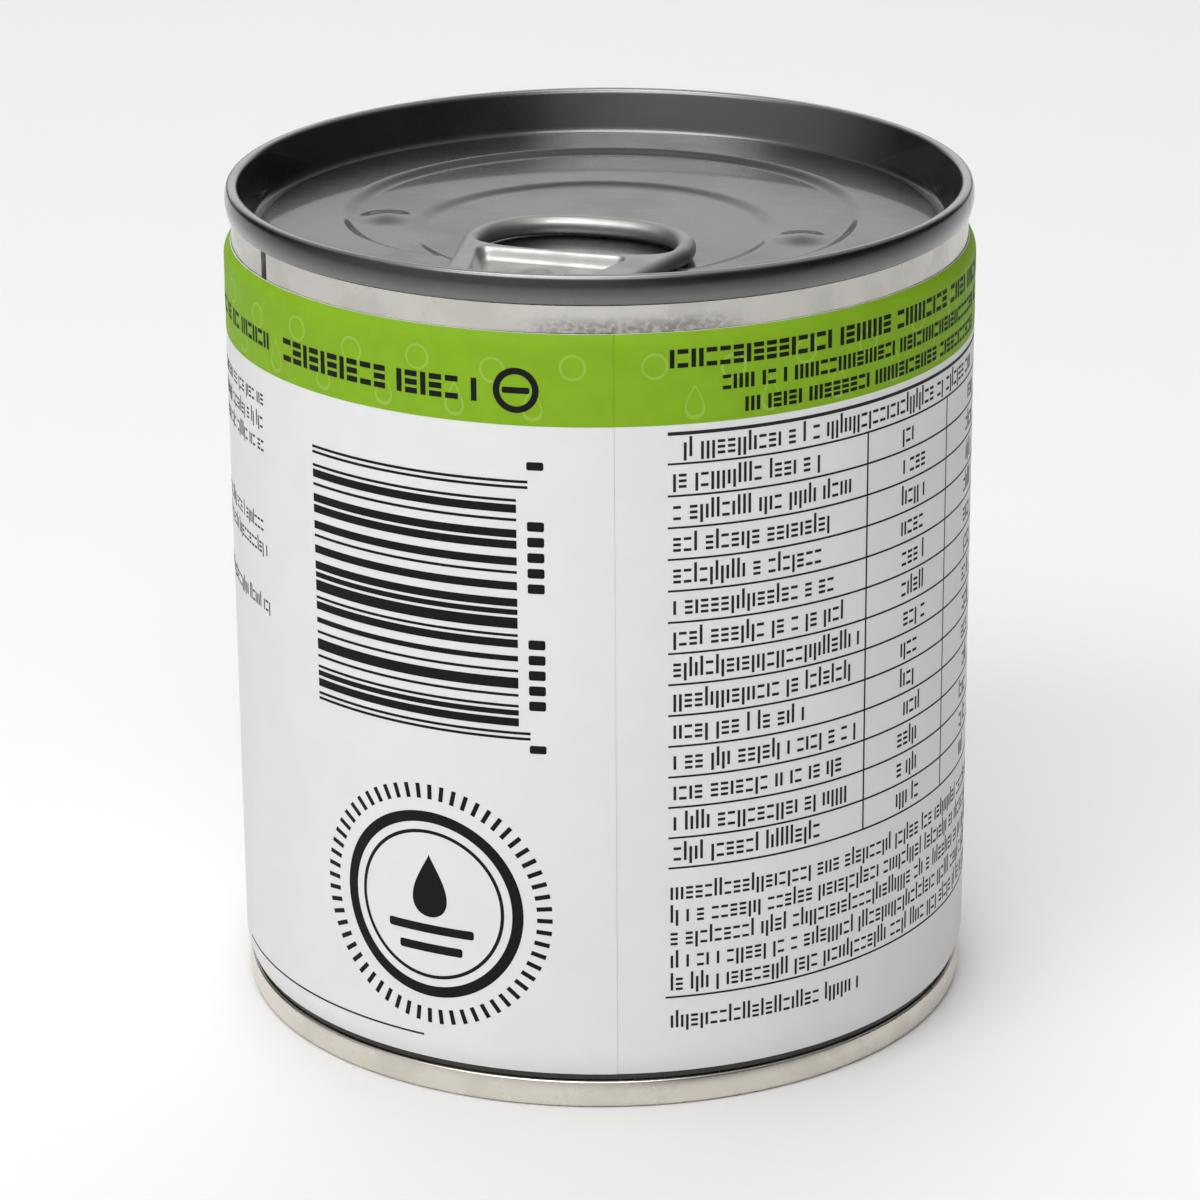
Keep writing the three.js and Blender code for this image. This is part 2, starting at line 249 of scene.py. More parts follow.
class FinishColours(PropertyGroup):
    """Colours of the finishes"""
    tinplate: colour("Tinplate", "Bare wall under the seams", 0.585, 0.565, 0.525)
    base_metal: colour("Base metal", "Lacquered lower end", 0.735, 0.692, 0.618)
    lid_metal: colour("Lid metal", "Grey lacquered lid", 0.118, 0.118, 0.12)
    pull_metal: colour("Pull metal", "Bright ring pull", 0.5, 0.5, 0.48)
    weld: colour("Weld", "Dark welded strip", 0.07, 0.065, 0.06)
    paper: colour("Paper", "Coated paper", 0.78, 0.78, 0.78)
    band: colour("Band", "Leaf-green field", 0.235, 0.435, 0.018)
    motif: colour("Motif", "Pale green figures on the band", 0.31, 0.50, 0.07)
    ink: colour("Ink", "Near-black print", 0.009, 0.009, 0.01)
    fine_ink: colour("Fine ink", "Dark grey rules and small marks", 0.022, 0.022, 0.023)
    floor: colour("Floor", "Pale studio floor", 0.88, 0.88, 0.88)


class StageSizes(PropertyGroup):
    """Floor, light and camera"""
    lens: factor("Lens", "Focal length in millimetres on a 36 mm sensor", 137.42)
    sensor: factor("Sensor", "Width of the sensor in millimetres", 36.0)
    distance: length("Camera distance", "From the axis of the can", 434.14)
    eye_height: length("Camera height", "Above the floor", 196.04)
    azimuth: angle("Camera azimuth", "Round the can from the nose of the pull", 12.0)
    pitch: angle("Camera pitch", "Downward tilt", 19.905)
    roll: angle("Camera roll", "Tilt of the horizon", -0.401)
    yaw: angle("Camera yaw", "Turn from the axis of the can", -0.029)
    floor_radius: length("Floor radius", "Round pale floor", 6000.0)


# Nodes

Fade = namedtuple("Fade", "start end before after")


class NodeMaker:
    """Adds nodes to a tree and feeds their inputs by name."""

    def __init__(self, tree):
        self.tree = tree

    def feed(self, socket, value):
        """Links another node's output to a socket, or sets the socket's own value."""
        if isinstance(value, bpy.types.NodeSocket):
            self.tree.links.new(value, socket)
        else:
            socket.default_value = value

    def add(self, kind, feeds=None, **settings):
        """A node with its settings and inputs."""
        node = self.tree.nodes.new(kind)
        for key, value in settings.items():
            setattr(node, key, value)
        for key, value in (feeds or {}).items():
            socket = next(item for item in node.inputs if item.name == key and item.enabled)
            self.feed(socket, value)
        return node

    def result(self, kind, feeds=None, **settings):
        """The first enabled output of a new node."""
        node = self.add(kind, feeds, **settings)
        return next(item for item in node.outputs if item.enabled)

    def math(self, operation, *values):
        """One step of arithmetic."""
        node = self.add('ShaderNodeMath', operation=operation)
        for socket, value in zip(node.inputs, values):
            self.feed(socket, value)
        return node.outputs[0]

    def plus(self, first, second):
        """Sum of two numbers."""
        return self.math('ADD', first, second)

    def minus(self, first, second):
        """Difference of two numbers."""
        return self.math('SUBTRACT', first, second)

    def times(self, first, second):
        """Product of two numbers."""
        return self.math('MULTIPLY', first, second)

    def vector(self, x, y, z):
        """A vector from its three parts."""
        return self.result('ShaderNodeCombineXYZ', {"X": x, "Y": y, "Z": z})

    def parts(self, vector):
        """The three parts of a vector."""
        return self.add('ShaderNodeSeparateXYZ', {"Vector": vector}).outputs

    def ramp(self, value, from_low, from_high, to_low, to_high, shape='SMOOTHSTEP'):
        """Maps one range of values to another and holds its ends."""
        return self.result('ShaderNodeMapRange', {
            "Value": value, "From Min": from_low, "From Max": from_high, "To Min": to_low, "To Max": to_high,
        }, interpolation_type=shape)

    def fade(self, value, fade):
        """Share that changes over a span of lengths, given in millimetres."""
        return self.ramp(value, fade.start * MM, fade.end * MM, fade.before, fade.after)

    def draw(self, low, high, seed, index):
        """A seeded random number for each index."""
        return self.result('FunctionNodeRandomValue', {
            "Min": low, "Max": high, "ID": index, "Seed": seed}, data_type='FLOAT')

    def keep(self, geometry, name, value):
        """Stores a number on each point."""
        return self.result('GeometryNodeStoreNamedAttribute', {
            "Geometry": geometry, "Name": name, "Value": value}, data_type='FLOAT', domain='POINT')

    def kept(self, name, data_type='FLOAT'):
        """Reads a stored number."""
        return self.result('GeometryNodeInputNamedAttribute', {"Name": name}, data_type=data_type)


def new_tree(name, wanted):
    """Geometry node tree with the wanted inputs; returns its maker and its group input."""
    tree = bpy.data.node_groups.new(name, 'GeometryNodeTree')
    tree.interface.new_socket("Geometry", in_out='INPUT', socket_type='NodeSocketGeometry')
    for label, kind in wanted:
        tree.interface.new_socket(label, in_out='INPUT', socket_type=f'NodeSocket{kind}')
    tree.interface.new_socket("Geometry", in_out='OUTPUT', socket_type='NodeSocketGeometry')
    return NodeMaker(tree), tree.nodes.new('NodeGroupInput').outputs


def end_tree(make, geometry, material=None):
    """Closes a tree with Realize Instances and, where there is one, Set Material."""
    result = make.result('GeometryNodeRealizeInstances', {"Geometry": geometry})
    if material is not None:
        result = make.result('GeometryNodeSetMaterial', {"Geometry": result, "Material": material})
    make.add('NodeGroupOutput', {"Geometry": result})
    return make.tree


def inputs(kind, *labels):
    """Named inputs of one kind."""
    return [(label, kind) for label in labels]


WRAP_INPUTS = inputs(
    'Float', "Arc Radius", "Turn", "Lap Edge", "Lap Length", "Lap Fade", "Lap Lift",
    "Top", "Lean Height", "Lean")


def wrap_tree():
    """Wraps a flat sheet round the axis: X runs along the arc, -Y points outwards and Z up.

    Near the end of the paper the sheet is lifted over the layer below it, and its top edge leans in.
    """
    make, given = new_tree("wrap_round_axis", WRAP_INPUTS)
    x, y, z = make.parts(make.result('GeometryNodeInputPosition'))
    radius = given["Arc Radius"]
    edge = given["Lap Edge"]
    turn_end = make.plus(edge, make.times(radius, math.tau))
    arc = make.math('WRAP', x, turn_end, edge)
    lap_start = make.minus(turn_end, given["Lap Length"])
    fade_start = make.minus(lap_start, given["Lap Fade"])
    lift = make.ramp(arc, fade_start, lap_start, 0.0, given["Lap Lift"])
    lean_start = make.minus(given["Top"], given["Lean Height"])
    leaning = make.ramp(z, lean_start, given["Top"], 0.0, 1.0, 'LINEAR')
    inset = make.times(given["Lean"], make.math('POWER', leaning, 2.0))
    reach = make.minus(make.plus(make.minus(radius, y), lift), inset)
    turned = make.plus(make.math('DIVIDE', x, radius), given["Turn"])
    place = make.vector(
        make.times(reach, make.math('SINE', turned)),
        make.times(reach, make.times(make.math('COSINE', turned), -1.0)),
        z,
    )
    moved = make.result('GeometryNodeSetPosition', {"Geometry": given["Geometry"], "Position": place})
    return end_tree(make, moved)


def wrapped(make, given, geometry, wrap):
    """The wrap tree inside another tree, with the same inputs passed on."""
    feeds = {label: given[label] for label, _ in WRAP_INPUTS}
    node = make.add('GeometryNodeGroup', node_tree=wrap)
    for label, value in {"Geometry": geometry, **feeds}.items():
        make.feed(node.inputs[label], value)
    return node.outputs[0]


def turned_tree(wrap):
    """Turns a strip of sections into a closed round piece."""
    make, given = new_tree("turned_piece", WRAP_INPUTS + inputs('Material', "Material"))
    closed = make.result('GeometryNodeMergeByDistance', {
        "Geometry": wrapped(make, given, given["Geometry"], wrap), "Distance": WELD_DISTANCE})
    smooth = make.result('GeometryNodeSetShadeSmooth', {"Geometry": closed, "Shade Smooth": True})
    return end_tree(make, smooth, given["Material"])


def ink_tree(wrap):
    """Thickens flat figures into closed films of ink and wraps them round the paper."""
    make, given = new_tree(
        "ink_on_paper", WRAP_INPUTS + inputs('Float', "Sink", "Lift") + inputs('Material', "Material"))
    flat = make.result('GeometryNodeMergeByDistance', {
        "Geometry": given["Geometry"], "Distance": WELD_DISTANCE})
    sunk = make.result('GeometryNodeSetPosition', {
        "Geometry": flat, "Offset": make.vector(0.0, given["Sink"], 0.0)})
    thickness = make.plus(given["Sink"], given["Lift"])
    raised = make.result('GeometryNodeExtrudeMesh', {
        "Mesh": sunk,
        "Offset": make.vector(0.0, make.times(thickness, -1.0), 0.0),
        "Offset Scale": 1.0,
        "Individual": False,
    }, mode='FACES')
    under = make.result('GeometryNodeFlipFaces', {"Mesh": sunk})
    joined = make.add('GeometryNodeJoinGeometry')
    make.tree.links.new(raised, joined.inputs[0])
    make.tree.links.new(under, joined.inputs[0])
    film = make.result('GeometryNodeMergeByDistance', {
        "Geometry": joined.outputs[0], "Distance": WELD_DISTANCE})
    return end_tree(make, wrapped(make, given, film, wrap), given["Material"])


def unit_patch(make, columns):
    """Flat patch one unit wide and high, with its lower left corner at the origin, facing -Y."""
    grid = make.result('GeometryNodeMeshGrid', {
        "Size X": 1.0, "Size Y": 1.0, "Vertices X": columns, "Vertices Y": 2})
    return make.result('GeometryNodeTransform', {
        "Geometry": grid, "Translation": (0.5, 0.0, 0.5), "Rotation": (math.pi / 2, 0.0, 0.0)})


# Keeps a whole number that is held as a float from being read as the one below it.
ROUNDING_GUARD = 0.1


def marks_tree():
    """Rows of small marks, in groups of a few along each line.

    Each vertex given is the start of a line, with its number, its length and the size of its marks.
    The first marks of the set are broad and the rest are upright strokes.
    """
    counts = inputs('Int', "Kinds", "Broad Kinds", "Per Line", "Seed")
    shares = inputs('Float', "Broad", "Narrow", "Gap", "Group Gap", "Group Chance")
    make, given = new_tree("marks_in_lines", inputs('Collection', "Marks") + counts + shares)
    copies = make.result('GeometryNodeDuplicateElements', {
        "Geometry": given["Geometry"], "Amount": given["Per Line"]}, domain='POINT')
    index = make.result('GeometryNodeInputIndex')
    size = make.kept("size")
    seed = given["Seed"]
    kind = make.math('FLOOR', make.draw(0.0, given["Kinds"], seed, index))
    is_narrow = make.math('GREATER_THAN', kind, make.minus(given["Broad Kinds"], ROUNDING_GUARD))
    less = make.minus(given["Narrow"], given["Broad"])
    width = make.times(size, make.math('MULTIPLY_ADD', is_narrow, less, given["Broad"]))
    chance = make.draw(0.0, 1.0, make.plus(seed, 1), index)
    ends_group = make.math('LESS_THAN', chance, given["Group Chance"])
    space = make.math('MULTIPLY_ADD', ends_group, given["Group Gap"], given["Gap"])
    advance = make.math('MULTIPLY_ADD', size, space, width)
    placed = make.add('GeometryNodeAccumulateField', {
        "Value": advance, "Group ID": make.kept("line", 'INT')}, data_type='FLOAT', domain='POINT')
    marked = make.keep(copies, "start", placed.outputs["Trailing"])
    marked = make.keep(marked, "width", width)
    marked = make.keep(marked, "kind", kind)
    past_end = make.math(
        'GREATER_THAN', make.plus(make.kept("start"), make.kept("width")), make.kept("length"))
    kept = make.result('GeometryNodeDeleteGeometry', {
        "Geometry": marked, "Selection": past_end}, domain='POINT')
    shifted = make.result('GeometryNodeSetPosition', {
        "Geometry": kept, "Offset": make.vector(make.kept("start"), 0.0, 0.0)})
    shapes = make.result('GeometryNodeCollectionInfo', {
        "Collection": given["Marks"], "Separate Children": True, "Reset Children": True})
    marks = make.result('GeometryNodeInstanceOnPoints', {
        "Points": shifted,
        "Instance": shapes,
        "Pick Instance": True,
        "Instance Index": make.plus(make.kept("kind"), ROUNDING_GUARD),
        "Scale": make.vector(size, 1.0, size),
    })
    return end_tree(make, marks)


BAR_MODULES = (1.0, 4.2)
GAP_MODULES = (1.0, 3.6)


def ladder_tree():
    """Bar code: level bars of one to four modules stacked up a ladder, with gaps of one to three."""
    lengths = inputs('Float', "Left", "Foot", "Length", "Height", "Module")
    make, given = new_tree("bar_ladder", lengths + inputs('Int', "Bars", "Columns", "Seed"))
    points = make.result('GeometryNodeMeshLine', {"Count": given["Bars"]}, mode='OFFSET')
    index = make.result('GeometryNodeInputIndex')
    seed = given["Seed"]
    bar_modules = make.math('FLOOR', make.draw(*BAR_MODULES, seed, index))
    gap_modules = make.math('FLOOR', make.draw(*GAP_MODULES, make.plus(seed, 1), index))
    width = make.times(bar_modules, given["Module"])
    advance = make.math('MULTIPLY_ADD', gap_modules, given["Module"], width)
    placed = make.add('GeometryNodeAccumulateField', {"Value": advance}, data_type='FLOAT', domain='POINT')
    marked = make.keep(points, "start", placed.outputs["Trailing"])
    marked = make.keep(marked, "width", width)
    past_end = make.math(
        'GREATER_THAN', make.plus(make.kept("start"), make.kept("width")), given["Height"])
    kept = make.result('GeometryNodeDeleteGeometry', {
        "Geometry": marked, "Selection": past_end}, domain='POINT')
    stacked = make.result('GeometryNodeSetPosition', {
        "Geometry": kept,
        "Position": make.vector(given["Left"], 0.0, make.plus(given["Foot"], make.kept("start"))),
    })
    bars = make.result('GeometryNodeInstanceOnPoints', {
        "Points": stacked,
        "Instance": unit_patch(make, given["Columns"]),
        "Scale": make.vector(given["Length"], 1.0, make.kept("width")),
    })
    return end_tree(make, bars)


def ticks_tree():
    """Ring of short radial ticks."""
    lengths = inputs('Float', "Centre X", "Centre Z", "Radius", "Tick Width", "Tick Length")
    make, given = new_tree("ring_of_ticks", lengths + inputs('Int', "Count"))
    points = make.result('GeometryNodeMeshLine', {"Count": given["Count"]}, mode='OFFSET')
    index = make.result('GeometryNodeInputIndex')
    turn = make.times(make.math('DIVIDE', index, given["Count"]), math.tau)
    place = make.vector(
        make.math('MULTIPLY_ADD', make.math('SINE', turn), given["Radius"], given["Centre X"]),
        0.0,
        make.math('MULTIPLY_ADD', make.math('COSINE', turn), given["Radius"], given["Centre Z"]),
    )
    round_points = make.result('GeometryNodeSetPosition', {"Geometry": points, "Position": place})
    ticks = make.result('GeometryNodeInstanceOnPoints', {
        "Points": round_points,
        "Instance": unit_patch(make, 2),
        "Rotation": make.vector(0.0, turn, 0.0),
        "Scale": make.vector(given["Tick Width"], 1.0, given["Tick Length"]),
    })
    return end_tree(make, ticks)


def motif_row_tree():
    """Row of one figure, every second one set lower."""
    lengths = inputs('Float', "Start", "Height", "Pitch", "Drop")
    make, given = new_tree("row_of_figures", lengths + inputs('Int', "Count"))
    points = make.result('GeometryNodeMeshLine', {"Count": given["Count"]}, mode='OFFSET')
    index = make.result('GeometryNodeInputIndex')
    odd = make.math('MODULO', index, 2.0)
    place = make.vector(
        make.math('MULTIPLY_ADD', index, given["Pitch"], given["Start"]),
        0.0,
        make.minus(given["Height"], make.times(odd, given["Drop"])),
    )
    row = make.result('GeometryNodeSetPosition', {"Geometry": points, "Position": place})
    figures = make.result('GeometryNodeInstanceOnPoints', {"Points": row, "Instance": given["Geometry"]})
    return end_tree(make, figures)


def node_tree(name, maker, *parts):
    """The named tree, made once."""
    return bpy.data.node_groups.get(name) or maker(*parts)


def wrap():
    """The tree that wraps a sheet round the axis."""
    return node_tree("wrap_round_axis", wrap_tree)


def run_trees(mesh, steps):
    """Runs a mesh through node trees and returns the result as a plain mesh."""
    holder = bpy.data.objects.new("work", mesh)
    bpy.context.scene.collection.objects.link(holder)
    for tree, values in steps:
        modifier = holder.modifiers.new(tree.name, 'NODES')
        modifier.node_group = tree
        for item in tree.interface.items_tree:
            if item.item_type == 'SOCKET' and item.in_out == 'INPUT' and item.name in values:
                modifier[item.identifier] = values[item.name]
    evaluated = holder.evaluated_get(bpy.context.evaluated_depsgraph_get())
    result = bpy.data.meshes.new_from_object(evaluated)
    bpy.data.objects.remove(holder)
    bpy.data.meshes.remove(mesh)
    if not result.polygons:
        raise RuntimeError("a node tree made no faces")
    return result


# Meshes

Sheet = namedtuple("Sheet", "points faces")


def grid_faces(rows, columns):
    """Faces of a grid of points, with the rows going up and the columns to the right."""
    index = np.arange(rows * columns).reshape(rows, columns)
    corners = (index[:-1, :-1], index[:-1, 1:], index[1:, 1:], index[1:, :-1])
    return np.column_stack([corner.ravel() for corner in corners])


def grid_sheet(x, z):
    """Flat sheet from a grid of arcs and heights."""
    return Sheet(np.column_stack([x.ravel(), z.ravel()]), grid_faces(*x.shape))


def field_sheet(left, right, low, high, step):
    """Rectangular field."""
    columns = max(2, math.ceil((right - left) / step) + 1)
    return grid_sheet(*np.meshgrid(np.linspace(left, right, columns), np.array([low, high])))


# Share of a rounded corner that is cut away, so that the end of a bar keeps a little height.
CORNER_CUT = 0.98


def rounded_bar(left, right, low, high, corner, step):
    """Bar with rounded corners."""
    ends = corner * (1.0 - np.cos(np.linspace(0.0, math.pi / 2, 6)))
    middle = np.linspace(corner, right - left - corner, max(2, math.ceil((right - left) / step)))
    along = np.concatenate([ends[:-1], middle, right - left - ends[-2::-1]])
    from_end = np.minimum(np.minimum(along, right - left - along), corner)
    inset = corner - np.sqrt(np.maximum(0.0, corner ** 2 - (corner - from_end) ** 2))
    x = left + np.stack([along, along])
    return grid_sheet(x, np.stack([low + inset * CORNER_CUT, high - inset * CORNER_CUT]))


def ring_sheet(x, z, radius, thickness, columns=72, rows=2):
    """Ring; a thickness as large as its radius fills it."""
    turn = np.linspace(math.tau, 0.0, columns + 1)
    reach = radius - np.linspace(thickness, 0.0, rows)[:, None]
    return grid_sheet(x + reach * np.cos(turn), z + reach * np.sin(turn))


DROP_TAPER = 1.4
DROP_HALF_HEIGHT = 1.25
DROP_SHIFT = 0.1


def drop_outline(turn):
    """Outline of a drop about one unit wide at each side, with its tip up."""
    taper = np.abs(np.sin(turn / 2.0)) ** DROP_TAPER
    return np.sin(turn) * taper, -np.cos(turn) * DROP_HALF_HEIGHT + DROP_SHIFT


def drop_sheet(x, z, size, inner=0.0, columns=48, rows=2):
    """Drop, or its outline where inner is the share left open."""
    turn = np.linspace(math.tau, 0.0, columns + 1)
    across, up = drop_outline(turn)
    share = np.linspace(inner, 1.0, rows)[:, None]
    return grid_sheet(x + size * share * -across, z + size * share * -up)


def joined(sheets):
    """Several sheets as one."""
    points = []
    faces = []
    total = 0
    for sheet in sheets:
        points.append(sheet.points)
        faces.append(sheet.faces + total)
        total += len(sheet.points)
    return Sheet(np.concatenate(points), np.concatenate(faces))


def drawn(sheets):
    """Sheets that were drawn in millimetres, as one sheet in metres."""
    whole = joined(sheets)
    return Sheet(whole.points * MM, whole.faces)


def flat_mesh(name, sheet):
    """Mesh of a flat sheet, standing in the XZ plane and facing -Y."""
    points = np.column_stack([sheet.points[:, 0], np.zeros(len(sheet.points)), sheet.points[:, 1]])
    mesh = bpy.data.meshes.new(name)
    mesh.from_pydata(points.tolist(), [], sheet.faces.tolist())
    return mesh


def plain_sheet(mesh):
    """Flat sheet read back from a flat mesh."""
    points = np.array([vertex.co[:] for vertex in mesh.vertices])[:, [0, 2]]
    faces = np.array([polygon.vertices[:] for polygon in mesh.polygons])
    bpy.data.meshes.remove(mesh)
    return Sheet(points, faces)


# Largest share of an edge that the rounding of one corner may take.
MOST_ROUNDING = 0.48


def rounded_path(corners, steps=5):
    """Path through (radius, height, cut) corners, each rounded where a cut is given."""
    path = []
    for number, (radius, height, cut) in enumerate(corners):
        here = np.array([radius, height])
        if cut == 0 or number in (0, len(corners) - 1):
            path.append(here)
            continue
        back = np.array(corners[number - 1][:2]) - here
        ahead = np.array(corners[number + 1][:2]) - here
        start = here + back * min(MOST_ROUNDING, cut / np.linalg.norm(back))
        end = here + ahead * min(MOST_ROUNDING, cut / np.linalg.norm(ahead))
        for share in np.linspace(0.0, 1.0, steps + 1):
            path.append((1 - share) ** 2 * start + 2 * share * (1 - share) * here + share ** 2 * end)
    return np.array(path)


def strip_mesh(name, radius, height, turn, arc_radius):
    """Flat strip for turning, from grids of radius and height and a row of angles."""
    x = np.broadcast_to(turn * arc_radius, radius.shape)
    points = np.stack([x, arc_radius - radius, height], axis=-1).reshape(-1, 3)
    mesh = bpy.data.meshes.new(name)
    mesh.from_pydata(points.tolist(), [], grid_faces(*radius.shape).tolist())
    return mesh


def capped_tube(name, points):
    """Mesh of a closed section carried through rows of points, with both ends closed."""
    rows, loops = points.shape[:2]
    index = np.arange(rows * loops).reshape(rows, loops)
    after = np.roll(index, -1, axis=1)
    sides = np.stack([index[:-1], after[:-1], after[1:], index[1:]], axis=-1).reshape(-1, 4)
    caps = [index[0, ::-1].tolist(), index[-1].tolist()]
    mesh = bpy.data.meshes.new(name)
    mesh.from_pydata(points.reshape(-1, 3).tolist(), [], sides.tolist() + caps)
    return mesh


def turned_mesh(name, radius, height, turn, material):
    """Closed round mesh from grids of radius and height."""
    reference = bpy.context.scene.label_sizes.radius
    flat = strip_mesh(name, radius, height, turn, reference)
    tree = node_tree("turned_piece", turned_tree, wrap())
    return run_trees(flat, [(tree, {"Arc Radius": reference, "Lap Lift": 0.0, "Material": material})])


def turned_path_mesh(name, path, columns, material):
    """Closed round mesh from one section."""
    turn = np.linspace(0.0, math.tau, columns + 1)
    radius = np.repeat(path[:, :1], columns + 1, axis=1)
    height = np.repeat(path[:, 1:], columns + 1, axis=1)
    return turned_mesh(name, radius, height, turn, material)


def add_piece(name, mesh, slot, *nodes, sharp_angle=math.radians(40.0)):
    """Finished piece: smooth apart from its sharp edges, on its body, with the parts that it stands for
    hidden; the slot is not used.
    """
    mesh.name = name
    for polygon in mesh.polygons:
        polygon.use_smooth = True
    mesh.set_sharp_from_angle(angle=sharp_angle)
    piece = bpy.data.objects.new(name, mesh)
    bpy.context.scene.collection.objects.link(piece)
    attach(piece, BODY)
    if nodes:
        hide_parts(*nodes)
    return piece


def paper_wrap(label):
    """Inputs that wrap a sheet round the can as the paper is wrapped."""
    return {
        "Arc Radius": label.radius,
        "Turn": label.front,
        "Lap Edge": label.lap_edge,
        "Lap Length": label.lap_length,
        "Lap Fade": label.lap_fade,
        "Lap Lift": label.lap_lift,
        "Top": label.top,
        "Lean Height": label.lean_height,
        "Lean": label.lean,
    }


LEAN_LEVELS = 7


def lean_levels(label, high):
    """Heights close together where the top edge of the paper leans in, up to a given height."""
    return np.linspace(label.top - label.lean_height, high, LEAN_LEVELS)


def add_print(name, sheet, material, lift):
    """Print on the label from a flat sheet."""
    label = bpy.context.scene.label_sizes
    tree = node_tree("ink_on_paper", ink_tree, wrap())
    values = {"Sink": label.ink_sink, "Lift": lift, "Material": material}
    mesh = run_trees(flat_mesh(name, sheet), [(tree, {**paper_wrap(label), **values})])
    return add_piece(name, mesh, "label_paper")


def smooth_step(share):
    """Rises from 0 to 1 with level ends."""
    held = np.clip(share, 0.0, 1.0)
    return held * held * (3.0 - 2.0 * held)


# Stands in for the squared length of an edge that has none.
NO_LENGTH = 1e-18


def signed_distance(points, loop):
    """Distance from each point to a closed loop, negative inside it."""
    nearest = np.full(len(points), np.inf)
    inside = np.zeros(len(points), dtype=bool)
    for start, end in zip(loop, np.roll(loop, -1, axis=0)):
        edge = end - start
        offset = points - start
        share = np.clip(offset @ edge / max(edge @ edge, NO_LENGTH), 0.0, 1.0)
        gap = offset - share[:, None] * edge
        nearest = np.minimum(nearest, np.hypot(gap[:, 0], gap[:, 1]))
        crosses = (start[1] > points[:, 1]) != (end[1] > points[:, 1])
        if edge[1] != 0:
            cut_x = start[0] + (points[:, 1] - start[1]) * edge[0] / edge[1]
            inside ^= crosses & (points[:, 0] < cut_x)
    return np.where(inside, -nearest, nearest)


def curve_points(start, control, end, steps=14):
    """Points of a curve pulled towards one control point, without its last point."""
    share = np.linspace(0.0, 1.0, steps + 1)[:-1, None]
    return (1 - share) ** 2 * start + 2 * share * (1 - share) * control + share ** 2 * end


# Materials

def principled(name):
    """New material with its maker, its shader and its object coordinates."""
    material = bpy.data.materials.new(name)
    material.use_nodes = True
    make = NodeMaker(material.node_tree)
    shader = material.node_tree.nodes["Principled BSDF"]
    place = make.add('ShaderNodeTexCoord').outputs["Object"]
    return material, make, shader, place


def noise(make, place, scale, detail=3.0, stretch=None):
    """Noise of a size, stretched along the axes where asked."""
    if stretch is not None:
        place = make.result('ShaderNodeMapping', {"Vector": place, "Scale": stretch})
    return make.result('ShaderNodeTexNoise', {"Vector": place, "Scale": scale, "Detail": detail})


def two_tone(make, share, first, second):
    """Mix of two colours, each a plain colour or another node's output."""
    feeds = {"Factor": share}
    for key, tone in (("A", first), ("B", second)):
        feeds[key] = tone if isinstance(tone, bpy.types.NodeSocket) else (*tone, 1.0)
    return make.result('ShaderNodeMix', feeds, data_type='RGBA')


def shade(tint, amount):
    """A colour made darker or lighter."""
    return tuple(min(1.0, value * amount) for value in tint)


def bumped(make, shader, height, strength, distance):
    """Fine relief on a shader."""
    bump = make.result('ShaderNodeBump', {"Strength": strength, "Distance": distance, "Height": height})
    make.feed(shader.inputs["Normal"], bump)


SCUFF_TURN = math.radians(17.0)
SCUFF_FRONT = Fade(34.0, 35.7, 0.0, 1.0)
SCUFF_FOOT = Fade(60.0, 61.0, 0.0, 1.0)
SCUFF_TOP = Fade(77.9, 79.5, 1.0, 0.0)
SPECKLE_SCALE = 1700.0
SPECKLE_DETAIL = 7.0
SPECKLE_STRETCH = (1.0, 1.0, 1.3)
SPECKLE = Fade(0.36, 0.6, 0.4, 1.0)
SCUFF_SHADE = 0.45
# Painted shade: the neck in the narrow groove over the base is painted nearly black, where it lies in shade.
PAINTED_GROOVE_SHADE_SPAN = Fade(3.5, 4.5, 0.94, 0.0)
PAINTED_GROOVE_SHADE = 0.04


def scuffs_and_painted_groove_shade(make, place):
    """Dark speckled rubbing low on the upper neck, at the front, and painted shade that makes the groove
    over the base nearly black.
    """
    x, y, z = make.parts(place)
    forward = make.times(y, -math.cos(SCUFF_TURN))
    to_front = make.math('MULTIPLY_ADD', x, math.sin(SCUFF_TURN), forward)
    low = make.times(make.fade(z, SCUFF_FOOT), make.fade(z, SCUFF_TOP))
    speckle = make.ramp(noise(make, place, SPECKLE_SCALE, SPECKLE_DETAIL, SPECKLE_STRETCH), *SPECKLE)
    rubbed = make.times(make.times(make.fade(to_front, SCUFF_FRONT), low), speckle)
    return [(rubbed, SCUFF_SHADE), (make.fade(z, PAINTED_GROOVE_SHADE_SPAN), PAINTED_GROOVE_SHADE)]


# Painted light on the lid's seam: the upper face is painted darker as shade, the hem lighter as a reflection
# and the crest lighter as a highlight.
SEAM_OUTSIDE = Fade(36.0, 36.3, 0.0, 1.0)
SEAM_FACE_PAINTED_SHADE_SPAN = Fade(80.8, 82.0, 0.0, 0.6)
SEAM_FACE_PAINTED_SHADE = 0.3
HEM_PAINTED_LIGHT_SPAN = Fade(80.2, 81.3, 0.3, 0.0)
HEM_PAINTED_LIGHT = 2.2
CREST_PAINTED_HIGHLIGHT_SPAN = Fade(82.72, 82.95, 0.0, 1.0)
CREST_PAINTED_HIGHLIGHT = 3.4


def painted_seam_light(make, place):
    """Painted light on the seam of the lid: painted shade on the upper face of the seam, a painted
    reflection lightening its hem and a painted highlight lightening its crest.
    """
    x, y, z = make.parts(place)
    reach = make.math('SQRT', make.plus(make.times(x, x), make.times(y, y)))
    outside = make.fade(reach, SEAM_OUTSIDE)
    face = make.times(outside, make.fade(z, SEAM_FACE_PAINTED_SHADE_SPAN))
    hem = make.times(outside, make.fade(z, HEM_PAINTED_LIGHT_SPAN))
    return [(face, SEAM_FACE_PAINTED_SHADE), (hem, HEM_PAINTED_LIGHT), (make.fade(z, CREST_PAINTED_HIGHLIGHT_SPAN), CREST_PAINTED_HIGHLIGHT)]


SheetMetal = namedtuple("SheetMetal", "darker rough_low rough_high cloud_scale grain stretch")

